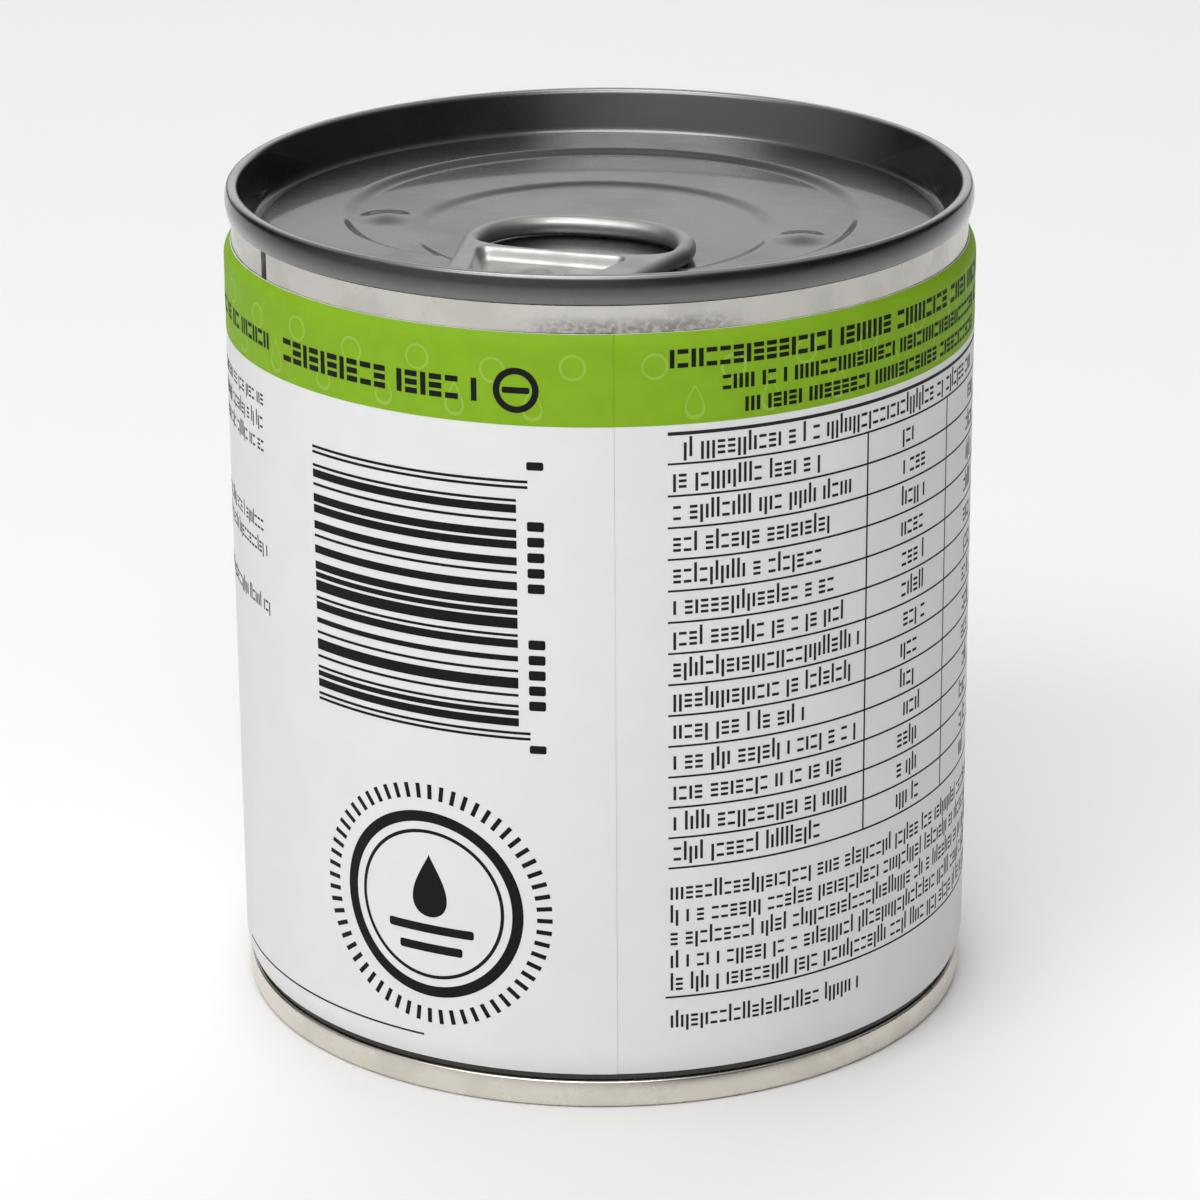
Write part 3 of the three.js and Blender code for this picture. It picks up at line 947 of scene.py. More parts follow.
TINPLATE = SheetMetal(0.92, 0.24, 0.32, 260.0, 0.12, (1.0, 1.0, 0.25))
BASE_TINPLATE = SheetMetal(0.91, 0.25, 0.34, 240.0, 0.12, (1.0, 1.0, 0.4))
LID_LACQUER = SheetMetal(0.93, 0.26, 0.34, 120.0, 0.03, (0.3, 1.0, 1.0))
BRIGHT_PULL = SheetMetal(0.92, 0.4, 0.5, 300.0, 0.015, (1.0, 0.3, 1.0))
WELDED_STRIP = SheetMetal(0.6, 0.35, 0.55, 700.0, 0.3, (1.0, 1.0, 2.0))
CLOUD = Fade(0.35, 0.75, 0.0, 1.0)
UNEVEN_LOW = 0.2
UNEVEN_HIGH = 0.8
STREAK_SCALE = 900.0
STREAK_DETAIL = 4.0
STREAK_DEPTH = 0.02 * MM
LID_COAT = 0.62
COAT_ROUGHNESS = 0.05


def metal(name, tint, look, wear_and_painted_light=None, coat=0.0):
    """Sheet metal with a cloudy tone, uneven gloss and a faint rolled grain.

    The marks passed in give the share and the shade of worn places and of painted light and shade, and the
    coat is the weight of a clear coat.
    """
    material, make, shader, place = principled(name)
    cloud = make.ramp(noise(make, place, look.cloud_scale), *CLOUD)
    streak = noise(make, place, STREAK_SCALE, STREAK_DETAIL, look.stretch)
    tone = two_tone(make, cloud, tint, shade(tint, look.darker))
    worn_and_painted = wear_and_painted_light(make, place) if wear_and_painted_light else []
    for share, amount in worn_and_painted:
        tone = two_tone(make, share, tone, shade(tint, amount))
    make.feed(shader.inputs["Base Color"], tone)
    uneven = make.plus(make.times(streak, 0.5), make.times(cloud, 0.5))
    roughness = make.ramp(uneven, UNEVEN_LOW, UNEVEN_HIGH, look.rough_low, look.rough_high)
    make.feed(shader.inputs["Roughness"], roughness)
    shader.inputs["Metallic"].default_value = 1.0
    shader.inputs["Coat Weight"].default_value = coat
    shader.inputs["Coat Roughness"].default_value = COAT_ROUGHNESS
    bumped(make, shader, streak, look.grain, STREAK_DEPTH)
    return material


PaperLook = namedtuple("PaperLook", "mottle_scale mottle_detail darker gloss relief")

COATED_PAPER = PaperLook(180.0, 3.0, 0.975, 0.25, 0.08)
INK_ON_PAPER = PaperLook(420.0, 4.0, 0.93, 0.1, 0.06)
MOTTLE = Fade(0.3, 0.7, 0.0, 1.0)
FIBRE_ROUGHNESS = Fade(0.3, 0.7, 0.5, 0.62)
FIBRE_SCALE = 2600.0
FIBRE_DETAIL = 5.0
FIBRE_DEPTH = 0.03 * MM


def paper(name, tint, look):
    """Coated paper, or ink on it: a faint mottle, with fibre in its gloss and relief."""
    material, make, shader, place = principled(name)
    mottle = make.ramp(noise(make, place, look.mottle_scale, look.mottle_detail), *MOTTLE)
    fibre = noise(make, place, FIBRE_SCALE, FIBRE_DETAIL)
    make.feed(shader.inputs["Base Color"], two_tone(make, mottle, tint, shade(tint, look.darker)))
    make.feed(shader.inputs["Roughness"], make.ramp(fibre, *FIBRE_ROUGHNESS))
    shader.inputs["Specular IOR Level"].default_value = look.gloss
    bumped(make, shader, fibre, look.relief, FIBRE_DEPTH)
    return material


FLOOR_CLOUD_SCALE = 4.0
FLOOR_DARKER = 0.985
FLOOR_ROUGHNESS = 0.6


def floor_finish(tint):
    """Pale studio floor with a faint unevenness."""
    material, make, shader, place = principled("pale_floor")
    cloud = noise(make, place, FLOOR_CLOUD_SCALE)
    make.feed(shader.inputs["Base Color"], two_tone(make, cloud, tint, shade(tint, FLOOR_DARKER)))
    shader.inputs["Roughness"].default_value = FLOOR_ROUGHNESS
    return material


def finish(name, maker, *parts):
    """The named material, made once."""
    return bpy.data.materials.get(name) or maker(name, *parts)


def pull_finish(colours):
    """Bright metal of the pull and its rivet."""
    return finish("bright_pull", metal, colours.pull_metal, BRIGHT_PULL)


def ink(name, tint):
    """Ink of one colour."""
    return finish(name, paper, tint, INK_ON_PAPER)


# Metal pieces

NECK_LEVELS = 21
WELD_LEVELS = 160
WELD_COLUMNS = 9


def make_body(scene):
    """Tinplate wall with a neck at each end, closed by pockets that the ends fill."""
    can = scene.can_sizes
    level = can.rim + can.neck_length * np.linspace(0.0, 1.0, NECK_LEVELS)
    neck = np.column_stack([neck_radius_at(can, level), level])
    pocket = [[0.0, can.pocket_depth], [can.pocket_radius, can.pocket_depth], [can.pocket_radius, can.rim]]
    lower = np.concatenate([pocket, neck])
    upper = lower[::-1] * [1.0, -1.0] + [0.0, can.height]
    path = np.concatenate([lower, upper])
    # The tinplate carries painted shade in the groove over the base.
    material = metal("tinplate", scene.can_colours.tinplate, TINPLATE, scuffs_and_painted_groove_shade)
    mesh = turned_path_mesh("can_wall", path, can.columns, material)
    add_piece("can_wall", mesh, "tinplate", "can_body")


def neck_radius_at(can, height):
    """Radius of the wall at heights above the floor."""
    from_end = np.minimum(height, can.height - height) - can.rim
    share = (from_end - can.neck_straight) / (can.neck_length - can.neck_straight)
    return can.neck_radius + (can.body_radius - can.neck_radius) * smooth_step(share)


def make_weld(scene):
    """Dark welded strip down the wall: a low rounded bead, closed all round."""
    can = scene.can_sizes
    height = np.linspace(can.rim, can.height - can.rim, WELD_LEVELS)
    across = np.linspace(-0.5, 0.5, WELD_COLUMNS)
    crown = np.sqrt(np.maximum(0.0, 1.0 - (2.0 * across) ** 2))
    wall = neck_radius_at(can, height)[:, None]
    outer = wall + can.weld_proud * crown
    inner = np.repeat(wall - can.weld_proud, WELD_COLUMNS, axis=1)
    section = np.concatenate([outer, inner[:, ::-1]], axis=1)
    turn = np.concatenate([across, across[::-1]]) * can.weld_width / can.body_radius + can.weld_angle
    level = np.broadcast_to(height[:, None], section.shape)
    points = np.stack([section * np.sin(turn), -section * np.cos(turn), level], axis=-1)
    mesh = capped_tube("side_weld", points)
    outward(mesh)
    mesh.materials.append(metal("side_weld", scene.can_colours.weld, WELDED_STRIP))
    add_piece("side_weld", mesh, "tinplate")


def outward(mesh):
    """Merges doubles and turns the faces of a closed mesh outwards."""
    shell = bmesh.new()
    shell.from_mesh(mesh)
    bmesh.ops.remove_doubles(shell, verts=shell.verts, dist=WELD_DISTANCE)
    bmesh.ops.recalc_face_normals(shell, faces=shell.faces)
    shell.to_mesh(mesh)
    shell.free()


def end_corners(ends):
    """Corners of an end from its hidden inner face over the seam to the panel; the crest is at 0."""
    seam_foot = -ends.seam_height
    return [
        (0.0, -ends.plug_depth, 0.0),
        (ends.plug_radius, -ends.plug_depth, 0.0),
        (ends.plug_radius, seam_foot, 0.0),
        (ends.seam_radius - ends.seam_bulge, seam_foot, ends.seam_foot_round),
        (ends.seam_radius, seam_foot / 2, -seam_foot / 2),
        (ends.seam_radius - ends.seam_bulge, 0.0, ends.crest_round),
        (ends.wall_top_radius, 0.0, ends.crest_round),
        (ends.wall_foot_radius, -ends.groove_depth, ends.foot_round),
        (ends.groove_inner_radius, -ends.groove_depth, ends.groove_round),
        (ends.panel_radius, -ends.panel_depth, ends.groove_round),
    ]


# Half of the flat crown of a bead, as a share of the bead's width.
BEAD_CROWN = 0.2


def make_base(scene):
    """Lower end: the section turned over, with ring beads that stand towards the floor."""
    ends = scene.end_sizes
    corners = end_corners(ends)
    for radius in (ends.bead_outer_radius, ends.bead_inner_radius):
        slope = ends.bead_width / 2
        flat = ends.bead_width * BEAD_CROWN
        crown = ends.bead_rise - ends.panel_depth
        corners += [
            (radius + slope, -ends.panel_depth, ends.groove_round),
            (radius + flat, crown, ends.groove_round),
            (radius - flat, crown, ends.groove_round),
            (radius - slope, -ends.panel_depth, ends.groove_round),
        ]
    corners.append((0.0, -ends.panel_depth, 0.0))
    path = rounded_path(corners)[::-1] * [1.0, -1.0]
    material = metal("base_tinplate", scene.can_colours.base_metal, BASE_TINPLATE)
    mesh = turned_path_mesh("can_base", path, scene.can_sizes.columns, material)
    add_piece("can_base", mesh, "base_tinplate", "base")


def keyhole_loop(lid):
    """Outline of the keyhole recess seen from above."""
    side = lid.recess_side_angle
    centre = np.array([0.0, lid.recess_back_shift])
    turn = np.linspace(-side, math.pi + side, 120)
    arc = centre + lid.recess_radius * np.column_stack([np.cos(turn), np.sin(turn)])
    left_end = arc[-1]
    corner = np.array([-lid.key_corner_x, -lid.key_corner_reach])
    turn_x = -left_end[0] - (left_end[1] - corner[1]) * math.tan(side)
    turn_y = corner[1] + (turn_x - lid.key_corner_x) * math.tan(side)
    side_point = np.array([-lid.key_side_x, -lid.key_side_reach])
    end_point = np.array([0.0, -lid.key_end_reach])
    half = np.concatenate([
        curve_points(left_end, np.array([-turn_x, turn_y]), corner),
        [corner],
        curve_points(side_point, np.array([-lid.key_end_x, -lid.key_end_reach]), end_point),
    ])
    mirrored = half[1:][::-1] * [-1.0, 1.0]
    return np.concatenate([arc[:-1], half, [end_point], mirrored])


def lid_relief(scene, x, y):
    """Height of the pressed panel below the crest at places seen from above."""
    lid = scene.lid_sizes
    ends = scene.end_sizes
    points = np.column_stack([x.ravel(), y.ravel()])
    to_key = signed_distance(points, keyhole_loop(lid)).reshape(x.shape)
    to_well = np.hypot(x, y + lid.well_reach) - lid.well_radius
    recess = smooth_step(-to_key / lid.recess_slope)
    well = smooth_step(-to_well / lid.well_slope)
    height = -ends.panel_depth - lid.recess_drop * recess
    height -= (lid.well_depth - ends.panel_depth - lid.recess_drop) * well
    for side in (-1.0, 1.0):
        from_bump = np.hypot(
            x - side * lid.bump_distance * math.sin(lid.bump_spread),
            y + lid.bump_distance * math.cos(lid.bump_spread),
        )
        height += lid.bump_rise * smooth_step(1.0 - from_bump / lid.bump_radius) * recess * (1.0 - well)
    return height


BESIDE_PULL = math.radians(50.0)
COLUMNS_BESIDE_PULL = 240
COLUMNS_ELSEWHERE = 260
PRESSED_OUTER = 27.6 * MM
PRESSED_INNER = 14.0 * MM
ROWS_OUTSIDE = 12
ROWS_PRESSED = 84
ROWS_INSIDE = 24


def lid_columns():
    """Angles round the lid from the nose of the pull, closer together beside the pull."""
    return np.concatenate([
        np.linspace(-BESIDE_PULL, BESIDE_PULL, COLUMNS_BESIDE_PULL),
        np.linspace(BESIDE_PULL, math.tau - BESIDE_PULL, COLUMNS_ELSEWHERE)[1:],
    ])


def lid_rows(panel_edge):
    """Radii across the panel, closer together where it is pressed."""
    return np.concatenate([
        np.linspace(panel_edge, PRESSED_OUTER, ROWS_OUTSIDE)[1:],
        np.linspace(PRESSED_OUTER, PRESSED_INNER, ROWS_PRESSED)[1:],
        np.linspace(PRESSED_INNER, 0.0, ROWS_INSIDE)[1:],
    ])


def make_lid(scene):
    """Lid with its seam, sloping wall, groove and pressed panel."""
    ends = scene.end_sizes
    turn = lid_columns()
    path = rounded_path(end_corners(ends) + [(0.0, -ends.panel_depth, 0.0)])[:-1]
    rows = lid_rows(path[-1, 0])
    across = rows[:, None] * np.sin(turn)
    along = -rows[:, None] * np.cos(turn)
    panel = lid_relief(scene, across, along)
    rim_radius = np.repeat(path[:, :1], len(turn), axis=1)
    rim_height = np.repeat(path[:, 1:], len(turn), axis=1)
    radius = np.concatenate([rim_radius, np.repeat(rows[:, None], len(turn), axis=1)])
    height = np.concatenate([rim_height, panel]) + scene.can_sizes.height
    # The lid's lacquer carries painted light and shade on its seam.
    material = metal("lid_lacquer", scene.can_colours.lid_metal, LID_LACQUER, painted_seam_light, LID_COAT)
    mesh = turned_mesh("can_lid", radius, height, turn, material)
    add_piece("can_lid", mesh, "lid_metal", "lid")


RIVET_COLUMNS = 64
RIVET_DIMPLE = 0.7


def pull_turn(pull):
    """Turn of the pull and its rivet in the recess."""
    pivot = Matrix.Translation((0.0, -pull.twist_reach, 0.0))
    return pivot @ Matrix.Rotation(-pull.twist, 4, 'Z') @ pivot.inverted()


def make_rivet(scene):
    """Rivet drawn up through the pull, with a flattened head."""
    lid = scene.lid_sizes
    root = scene.can_sizes.height - scene.end_sizes.panel_depth - 2 * lid.recess_drop
    top = scene.can_sizes.height - lid.rivet_head_depth
    foot = top - lid.rivet_head_thickness
    soft = lid.rivet_head_thickness / 2
    path = rounded_path([
        (0.0, root, 0.0),
        (lid.rivet_stem_radius, root, 0.0),
        (lid.rivet_stem_radius, foot, 0.0),
        (lid.rivet_head_radius, foot, soft / 2),
        (lid.rivet_head_radius, top, soft),
        (lid.rivet_stem_radius, top, soft),
        (lid.rivet_stem_radius * RIVET_DIMPLE, top - soft, soft),
        (0.0, top - soft, 0.0),
    ])
    mesh = turned_path_mesh("rivet", path, RIVET_COLUMNS, pull_finish(scene.can_colours))
    mesh.transform(pull_turn(scene.pull_sizes) @ Matrix.Translation((0.0, -lid.rivet_reach, 0.0)))
    add_piece("rivet", mesh, "lid_metal")


# Ring pull

WEB_POINTS = 80
EDGE_POINTS = 24
PULL_SHARP = math.radians(75.0)


def full_half(half_width, base, reach, curve, steps=90):
    """Half of a rounded outline, fuller than an ellipse, as points seen from above."""
    turn = np.linspace(0.0, math.pi, steps + 1)
    across = np.abs(np.cos(turn)) ** (2 / curve) * np.sign(np.cos(turn))
    along = np.abs(np.sin(turn)) ** (2 / curve)
    return np.column_stack([half_width * across, base + reach * along])


def pull_loops(pull):
    """Outlines of the pull, its finger loop and its web, with Y as the reach towards the nose."""
    ring = pull.ring_reach
    nose = full_half(pull.neck_half_width, pull.neck_reach, pull.nose_reach - pull.neck_reach, pull.curve)
    back = full_half(-pull.ring_half_width, ring, pull.back_reach - ring, pull.curve)
    outer = np.concatenate([nose, back])
    loop_front = full_half(pull.loop_half_width, ring, pull.loop_front_reach - ring, pull.loop_front_curve)
    loop_back = full_half(-pull.loop_half_width, ring, pull.loop_back_reach - ring, pull.curve)
    loop = np.concatenate([loop_front, loop_back[1:-1]])
    turn = np.linspace(0.0, math.tau, WEB_POINTS + 1)[:-1]
    inner_x = pull.web_half_width - pull.web_corner
    middle = (pull.web_back_reach + pull.web_front_reach) / 2
    inner_y = (pull.web_front_reach - pull.web_back_reach) / 2 - pull.web_corner
    web_x = np.sign(np.cos(turn)) * inner_x + pull.web_corner * np.cos(turn)
    web_y = middle + np.sign(np.sin(turn)) * inner_y + pull.web_corner * np.sin(turn)
    narrowing = 1.0 - pull.web_taper * (web_y - pull.web_back_reach) / pull.web_half_width
    web = np.column_stack([web_x * narrowing - pull.web_shift, web_y])
    return outer, loop, web


def radial_reach(loop, centre, turn):
    """Distance from a centre to a loop round it, in each direction."""
    dense = np.concatenate([
        start + (end - start) * np.linspace(0.0, 1.0, EDGE_POINTS)[:-1, None]
        for start, end in zip(loop, np.roll(loop, -1, axis=0))
    ])
    offset = dense - centre
    direction = np.arctan2(offset[:, 1], offset[:, 0])
    order = np.argsort(direction)
    return np.interp(turn, direction[order], np.hypot(offset[:, 0], offset[:, 1])[order], period=math.tau)


def rolled(distance, edge):
    """Drop of a rolled edge below its crown, at distances in from its outside."""
    inside = np.clip(distance, 0.0, edge)
    return edge - np.sqrt(np.maximum(0.0, edge ** 2 - (edge - inside) ** 2))


def make_pull(scene):
    """Ring pull: a rolled edge round the finger loop and the sunken web."""
    pull = scene.pull_sizes
    outer, loop, web = pull_loops(pull)
    centre = np.array([0.0, (pull.loop_back_reach + pull.loop_front_reach) / 2])
    turn = np.linspace(-math.pi, math.pi, pull.columns + 1)[:-1]
    direction = np.column_stack([np.cos(turn), np.sin(turn)])
    outside = centre + direction * radial_reach(outer, centre, turn)[:, None]
    inside = centre + direction * radial_reach(loop, centre, turn)[:, None]
    share = (1.0 - np.cos(np.linspace(0.0, math.pi, pull.rows))) / 2
    places = outside + (inside - outside) * share[:, None, None]
    flat = places.reshape(-1, 2)
    from_edge = np.minimum(-signed_distance(flat, outer), signed_distance(flat, loop))
    from_edge = np.maximum(from_edge, 0.0).reshape(places.shape[:2])
    to_web = signed_distance(flat, web).reshape(places.shape[:2])
    drop = rolled(from_edge, pull.edge_round)
    top = -drop - pull.web_depth * smooth_step(0.5 - to_web / pull.web_slope)
    hollow = pull.under_lift * smooth_step((from_edge - 2 * pull.edge_round) / pull.edge_round)
    bottom = -pull.thickness + drop + hollow * (to_web > pull.web_slope)
    height = np.concatenate([top, bottom[::-1]])
    across = np.concatenate([places[..., 0], places[::-1, :, 0]])
    reach = np.concatenate([places[..., 1], places[::-1, :, 1]])
    tip = (pull.nose_depth - pull.back_depth) / (pull.nose_reach - pull.back_reach)
    height = height + scene.can_sizes.height - pull.back_depth - tip * (reach - pull.back_reach)
    points = np.stack([across, -reach, height], axis=-1)
    mesh = bpy.data.meshes.new("ring_pull")
    mesh.from_pydata(points.reshape(-1, 3).tolist(), [], closed_grid(*height.shape))
    outward(mesh)
    mesh.transform(pull_turn(pull))
    mesh.materials.append(pull_finish(scene.can_colours))
    add_piece("ring_pull", mesh, "pull_metal", "pull_tab", sharp_angle=PULL_SHARP)


def closed_grid(rows, columns):
    """Faces of a grid that closes on itself both ways."""
    index = np.arange(rows * columns).reshape(rows, columns)
    above = np.roll(index, -1, axis=0)
    corners = (index, np.roll(index, -1, axis=1), np.roll(above, -1, axis=1), above)
    return np.column_stack([corner.ravel() for corner in corners]).tolist()


# Label and print

CURL_LEVELS = 9


def make_label(scene):
    """Paper sleeve with a lapped end and edges that bend in."""
    label = scene.label_sizes
    turn_length = math.tau * label.radius
    curl = np.linspace(0.0, 1.0, CURL_LEVELS)
    inset = label.curl_inset * (1.0 - curl) ** 2
    outer = np.column_stack([inset, label.foot + curl * label.curl_height])
    upper = lean_levels(label, label.top)
    outer = np.concatenate([outer, np.column_stack([np.zeros(len(upper)), upper])])
    inner = outer[::-1] + [label.thickness, 0.0]
    section = np.concatenate([outer, inner])
    columns = scene.can_sizes.columns
    x = label.lap_edge + np.linspace(0.0, turn_length - label.end_gap, columns + 1)
    points = np.stack(np.broadcast_arrays(x[:, None], section[:, 0], section[:, 1]), axis=-1)
    mesh = capped_tube("paper_label", points)
    tree = node_tree("turned_piece", turned_tree, wrap())
    material = paper("coated_paper", scene.can_colours.paper, COATED_PAPER)
    result = run_trees(mesh, [(tree, {**paper_wrap(label), "Material": material})])
    outward(result)
    add_piece("paper_label", result, "label_paper", "label")


def make_band(scene):
    """Leaf-green field round the top of the label."""
    label = scene.label_sizes
    right = label.lap_edge + math.tau * label.radius - label.end_gap
    levels = np.concatenate([[label.band_foot], lean_levels(label, label.top - label.band_margin)])
    arcs = np.linspace(label.lap_edge, right, scene.can_sizes.columns)
    sheet = grid_sheet(*np.meshgrid(arcs, levels))
    add_print("green_band", sheet, ink("green_ink", scene.can_colours.band), label.field_lift)


# Print on the label: sizes, arcs from its front and heights in millimetres.
FIGURES = 31
FIGURE_RING_RADIUS = 1.25
FIGURE_RING_STROKE = 0.24
FIGURE_RING_HEIGHT = 74.5
FIGURE_RING_DROP = 0.5
FIGURE_DROP_SIZE = 1.35
FIGURE_DROP_OPEN = 0.8
FIGURE_DROP_HEIGHT = 71.1


def make_motifs(scene):
    """Pale outlined rings and drops in two rows round the green band."""
    label = scene.label_sizes
    tree = node_tree("row_of_figures", motif_row_tree)
    start = label.lap_edge / MM
    pitch = (math.tau * label.radius - label.end_gap) / MM / FIGURES
    ring = ring_sheet(0.0, 0.0, FIGURE_RING_RADIUS, FIGURE_RING_STROKE, columns=36)
    drop = drop_sheet(0.0, 0.0, FIGURE_DROP_SIZE, inner=FIGURE_DROP_OPEN)
    rows = (
        (ring, FIGURES, start + pitch / 2, FIGURE_RING_HEIGHT, FIGURE_RING_DROP),
        (drop, FIGURES - 1, start + pitch, FIGURE_DROP_HEIGHT, 0.0),
    )
    sheets = []
    for figure, number, first, height, lower in rows:
        values = {"Count": number, "Start": first, "Height": height, "Drop": lower, "Pitch": pitch}
        sheets.append(plain_sheet(run_trees(flat_mesh("figure", figure), [(tree, values)])))
    material = ink("pale_green_ink", scene.can_colours.motif)
    add_print("band_figures", drawn(sheets), material, label.motif_lift)


MarkStyle = namedtuple("MarkStyle", "width thickness tall hang gap group_gap group_chance seed")

FINE_MARKS = MarkStyle(0.54, 0.2, 1.42, 0.28, 0.19, 0.42, 0.16, 3)
BOLD_MARKS = MarkStyle(0.58, 0.25, 1.0, 0.0, 0.16, 0.42, 0.13, 9)

MARKS_PER_LINE = 110


def broad_marks(style):
    """Marks of two and three level strokes, one unit high in all."""
    top = 1.0 - style.thickness
    stacks = ((0.0, top), (0.0, top / 2, top))
    return [
        joined([field_sheet(0.0, style.width, low, low + style.thickness, 1.0) for low in stack])
        for stack in stacks
    ]


def narrow_marks(style):
    """Upright strokes: one unit high, taller, and hanging below the line."""
    spans = ((0.0, 1.0), (0.0, style.tall), (-style.hang, 1.0))
    return [field_sheet(0.0, style.thickness, low, high, 1.0) for low, high in spans]


def mark_shapes(marks):
    """Collection of the marks, each with its left end at the origin."""
    shapes = bpy.data.collections.new("marks")
    for number, sheet in enumerate(marks):
        shapes.objects.link(bpy.data.objects.new(f"mark_{number}", flat_mesh(f"mark_{number}", sheet)))
    bpy.context.scene.collection.children.link(shapes)
    return shapes


def clear_shapes(shapes):
    """Takes the marks away once they have been copied."""
    for shape in list(shapes.objects):
        bpy.data.meshes.remove(shape.data)
    bpy.data.collections.remove(shapes)


def marks_sheet(lines, style):
    """Flat sheet of marks along lines, each given by its start, baseline, length and size."""
    lines = np.array(lines)
    mesh = bpy.data.meshes.new("lines")
    mesh.from_pydata(np.insert(lines[:, :2], 1, 0.0, axis=1).tolist(), [], [])
    for name, kind, values in (
        ("line", 'INT', np.arange(len(lines))),
        ("length", 'FLOAT', lines[:, 2]),
        ("size", 'FLOAT', lines[:, 3]),
    ):
        mesh.attributes.new(name, kind, 'POINT').data.foreach_set("value", values)
    broad = broad_marks(style)
    narrow = narrow_marks(style)
    shapes = mark_shapes(broad + narrow)
    tree = node_tree("marks_in_lines", marks_tree)
    flat = run_trees(mesh, [(tree, {
        "Marks": shapes,
        "Kinds": len(broad) + len(narrow),
        "Broad Kinds": len(broad),
        "Per Line": MARKS_PER_LINE,
        "Seed": style.seed,
        "Broad": style.width,
        "Narrow": style.thickness,
        "Gap": style.gap,
        "Group Gap": style.group_gap,
        "Group Chance": style.group_chance,
    })])
    clear_shapes(shapes)
    return plain_sheet(flat)


BoldLine = namedtuple("BoldLine", "left low length size")

BOLD_LINES = (
    BoldLine(6.3, 74.25, 51.7, 1.75),
    BoldLine(11.3, 71.85, 41.7, 1.4),
    BoldLine(13.5, 69.55, 37.0, 1.4),
    BoldLine(-58.0, 71.2, 21.0, 1.6),
    BoldLine(-34.7, 70.9, 23.6, 2.2),
)

SIGN_X = -7.8
SIGN_HEIGHT = 72.2
SIGN_RADIUS = 2.15
SIGN_STROKE = 0.62
SIGN_BAR_HALF = 1.3
SIGN_BAR_RISE = 0.3
SIGN_BAR_CORNER = 0.2


def make_bold_lines(scene):
    """Lines of bold marks and a round sign on the green band."""
    label = scene.label_sizes
    bar = rounded_bar(
        SIGN_X - SIGN_BAR_HALF, SIGN_X + SIGN_BAR_HALF, SIGN_HEIGHT - SIGN_BAR_RISE,
        SIGN_HEIGHT + SIGN_BAR_RISE, SIGN_BAR_CORNER, label.step / MM)
    ring = ring_sheet(SIGN_X, SIGN_HEIGHT, SIGN_RADIUS, SIGN_STROKE)
    sheets = [ring, bar, marks_sheet(BOLD_LINES, BOLD_MARKS)]
    add_print("bold_lines", drawn(sheets), ink("black_ink", scene.can_colours.ink), label.line_lift)


TABLE_LEFT = 6.1
TABLE_RIGHT = 58.0
TABLE_TOP = 68.0
TABLE_FOOT = 24.96
TABLE_HEAD = 65.09
TABLE_ROWS = 13
COLUMN_LINES = (27.4, 41.2)
RULE = 0.2
HEAVY_RULE = 0.34

LevelRule = namedtuple("LevelRule", "left right level thickness")

OTHER_RULES = (
    LevelRule(TABLE_LEFT, TABLE_RIGHT, TABLE_TOP, HEAVY_RULE),
    LevelRule(5.8, TABLE_RIGHT, 11.6, RULE),
    LevelRule(-49.0, -18.2, 6.1, RULE),
)


def table_levels():
    """Heights of the rules between the rows of the table."""
    return np.linspace(TABLE_HEAD, TABLE_FOOT, TABLE_ROWS + 1)


def make_table(scene):
    """Thin rules of the table and round it."""
    label = scene.label_sizes
    step = label.step / MM
    sheets = []
    rules = [LevelRule(TABLE_LEFT, TABLE_RIGHT, level, RULE) for level in table_levels()]
    for rule in (*OTHER_RULES, *rules):
        half = rule.thickness / 2
        sheets.append(field_sheet(rule.left, rule.right, rule.level - half, rule.level + half, step))
    sheets += [field_sheet(x - RULE / 2, x + RULE / 2, TABLE_FOOT, TABLE_HEAD, step) for x in COLUMN_LINES]
    add_print("table_rules", drawn(sheets), ink("fine_ink", scene.can_colours.fine_ink), label.field_lift)


MarkBlock = namedtuple("MarkBlock", "left top pitch lines length size ragged")

MARK_BLOCKS = (
    MarkBlock(7.6, 65.75, 3.0, 1, 42.0, 1.36, 0.0),
    MarkBlock(6.3, 21.7, 2.35, 5, 51.0, 1.28, 0.06),
    MarkBlock(6.3, 8.4, 2.4, 1, 21.5, 1.28, 0.0),
    MarkBlock(-64.0, 65.2, 2.35, 3, 25.0, 1.1, 0.0),
    MarkBlock(-64.0, 52.3, 2.35, 2, 25.0, 1.1, 0.04),
    MarkBlock(-64.0, 44.2, 2.35, 1, 25.0, 1.1, 0.0),
    MarkBlock(66.0, 64.0, 2.6, 9, 18.0, 1.2, 0.3),
    MarkBlock(66.0, 36.0, 2.6, 7, 18.0, 1.2, 0.3),
    MarkBlock(143.0, 64.0, 2.6, 8, 18.0, 1.2, 0.3),
    MarkBlock(143.0, 38.0, 2.6, 9, 18.0, 1.2, 0.3),
)

CELL_SIZE = 1.36
CELL_RISE = 0.75
CELL_INDENT = 0.5
FIRST_CELL = (11.0, 20.3)
NEXT_CELLS = (((32.2, 33.4), (2.8, 4.4)), ((47.2, 48.6), (2.8, 4.2)))


def mark_lines(random):
    """Start, baseline, length and size of every row of small marks."""
    lines = []
    for block in MARK_BLOCKS:
        for number in range(block.lines):
            reach = block.length * (1.0 - block.ragged * random.random())
            lines.append((block.left, block.top - number * block.pitch, reach, block.size))
    for level in table_levels()[1:]:
        baseline = level + CELL_RISE
        lines.append((TABLE_LEFT + CELL_INDENT, baseline, random.uniform(*FIRST_CELL), CELL_SIZE))
        for start, reach in NEXT_CELLS:
            lines.append((random.uniform(*start), baseline, random.uniform(*reach), CELL_SIZE))
    return lines


MARK_SEED = 5


def make_small_print(scene):
    """Rows of small marks in the table and beside it."""
    sheet = marks_sheet(mark_lines(np.random.default_rng(MARK_SEED)), FINE_MARKS)
    material = ink("fine_ink", scene.can_colours.fine_ink)
    add_print("small_print", drawn([sheet]), material, scene.label_sizes.field_lift)


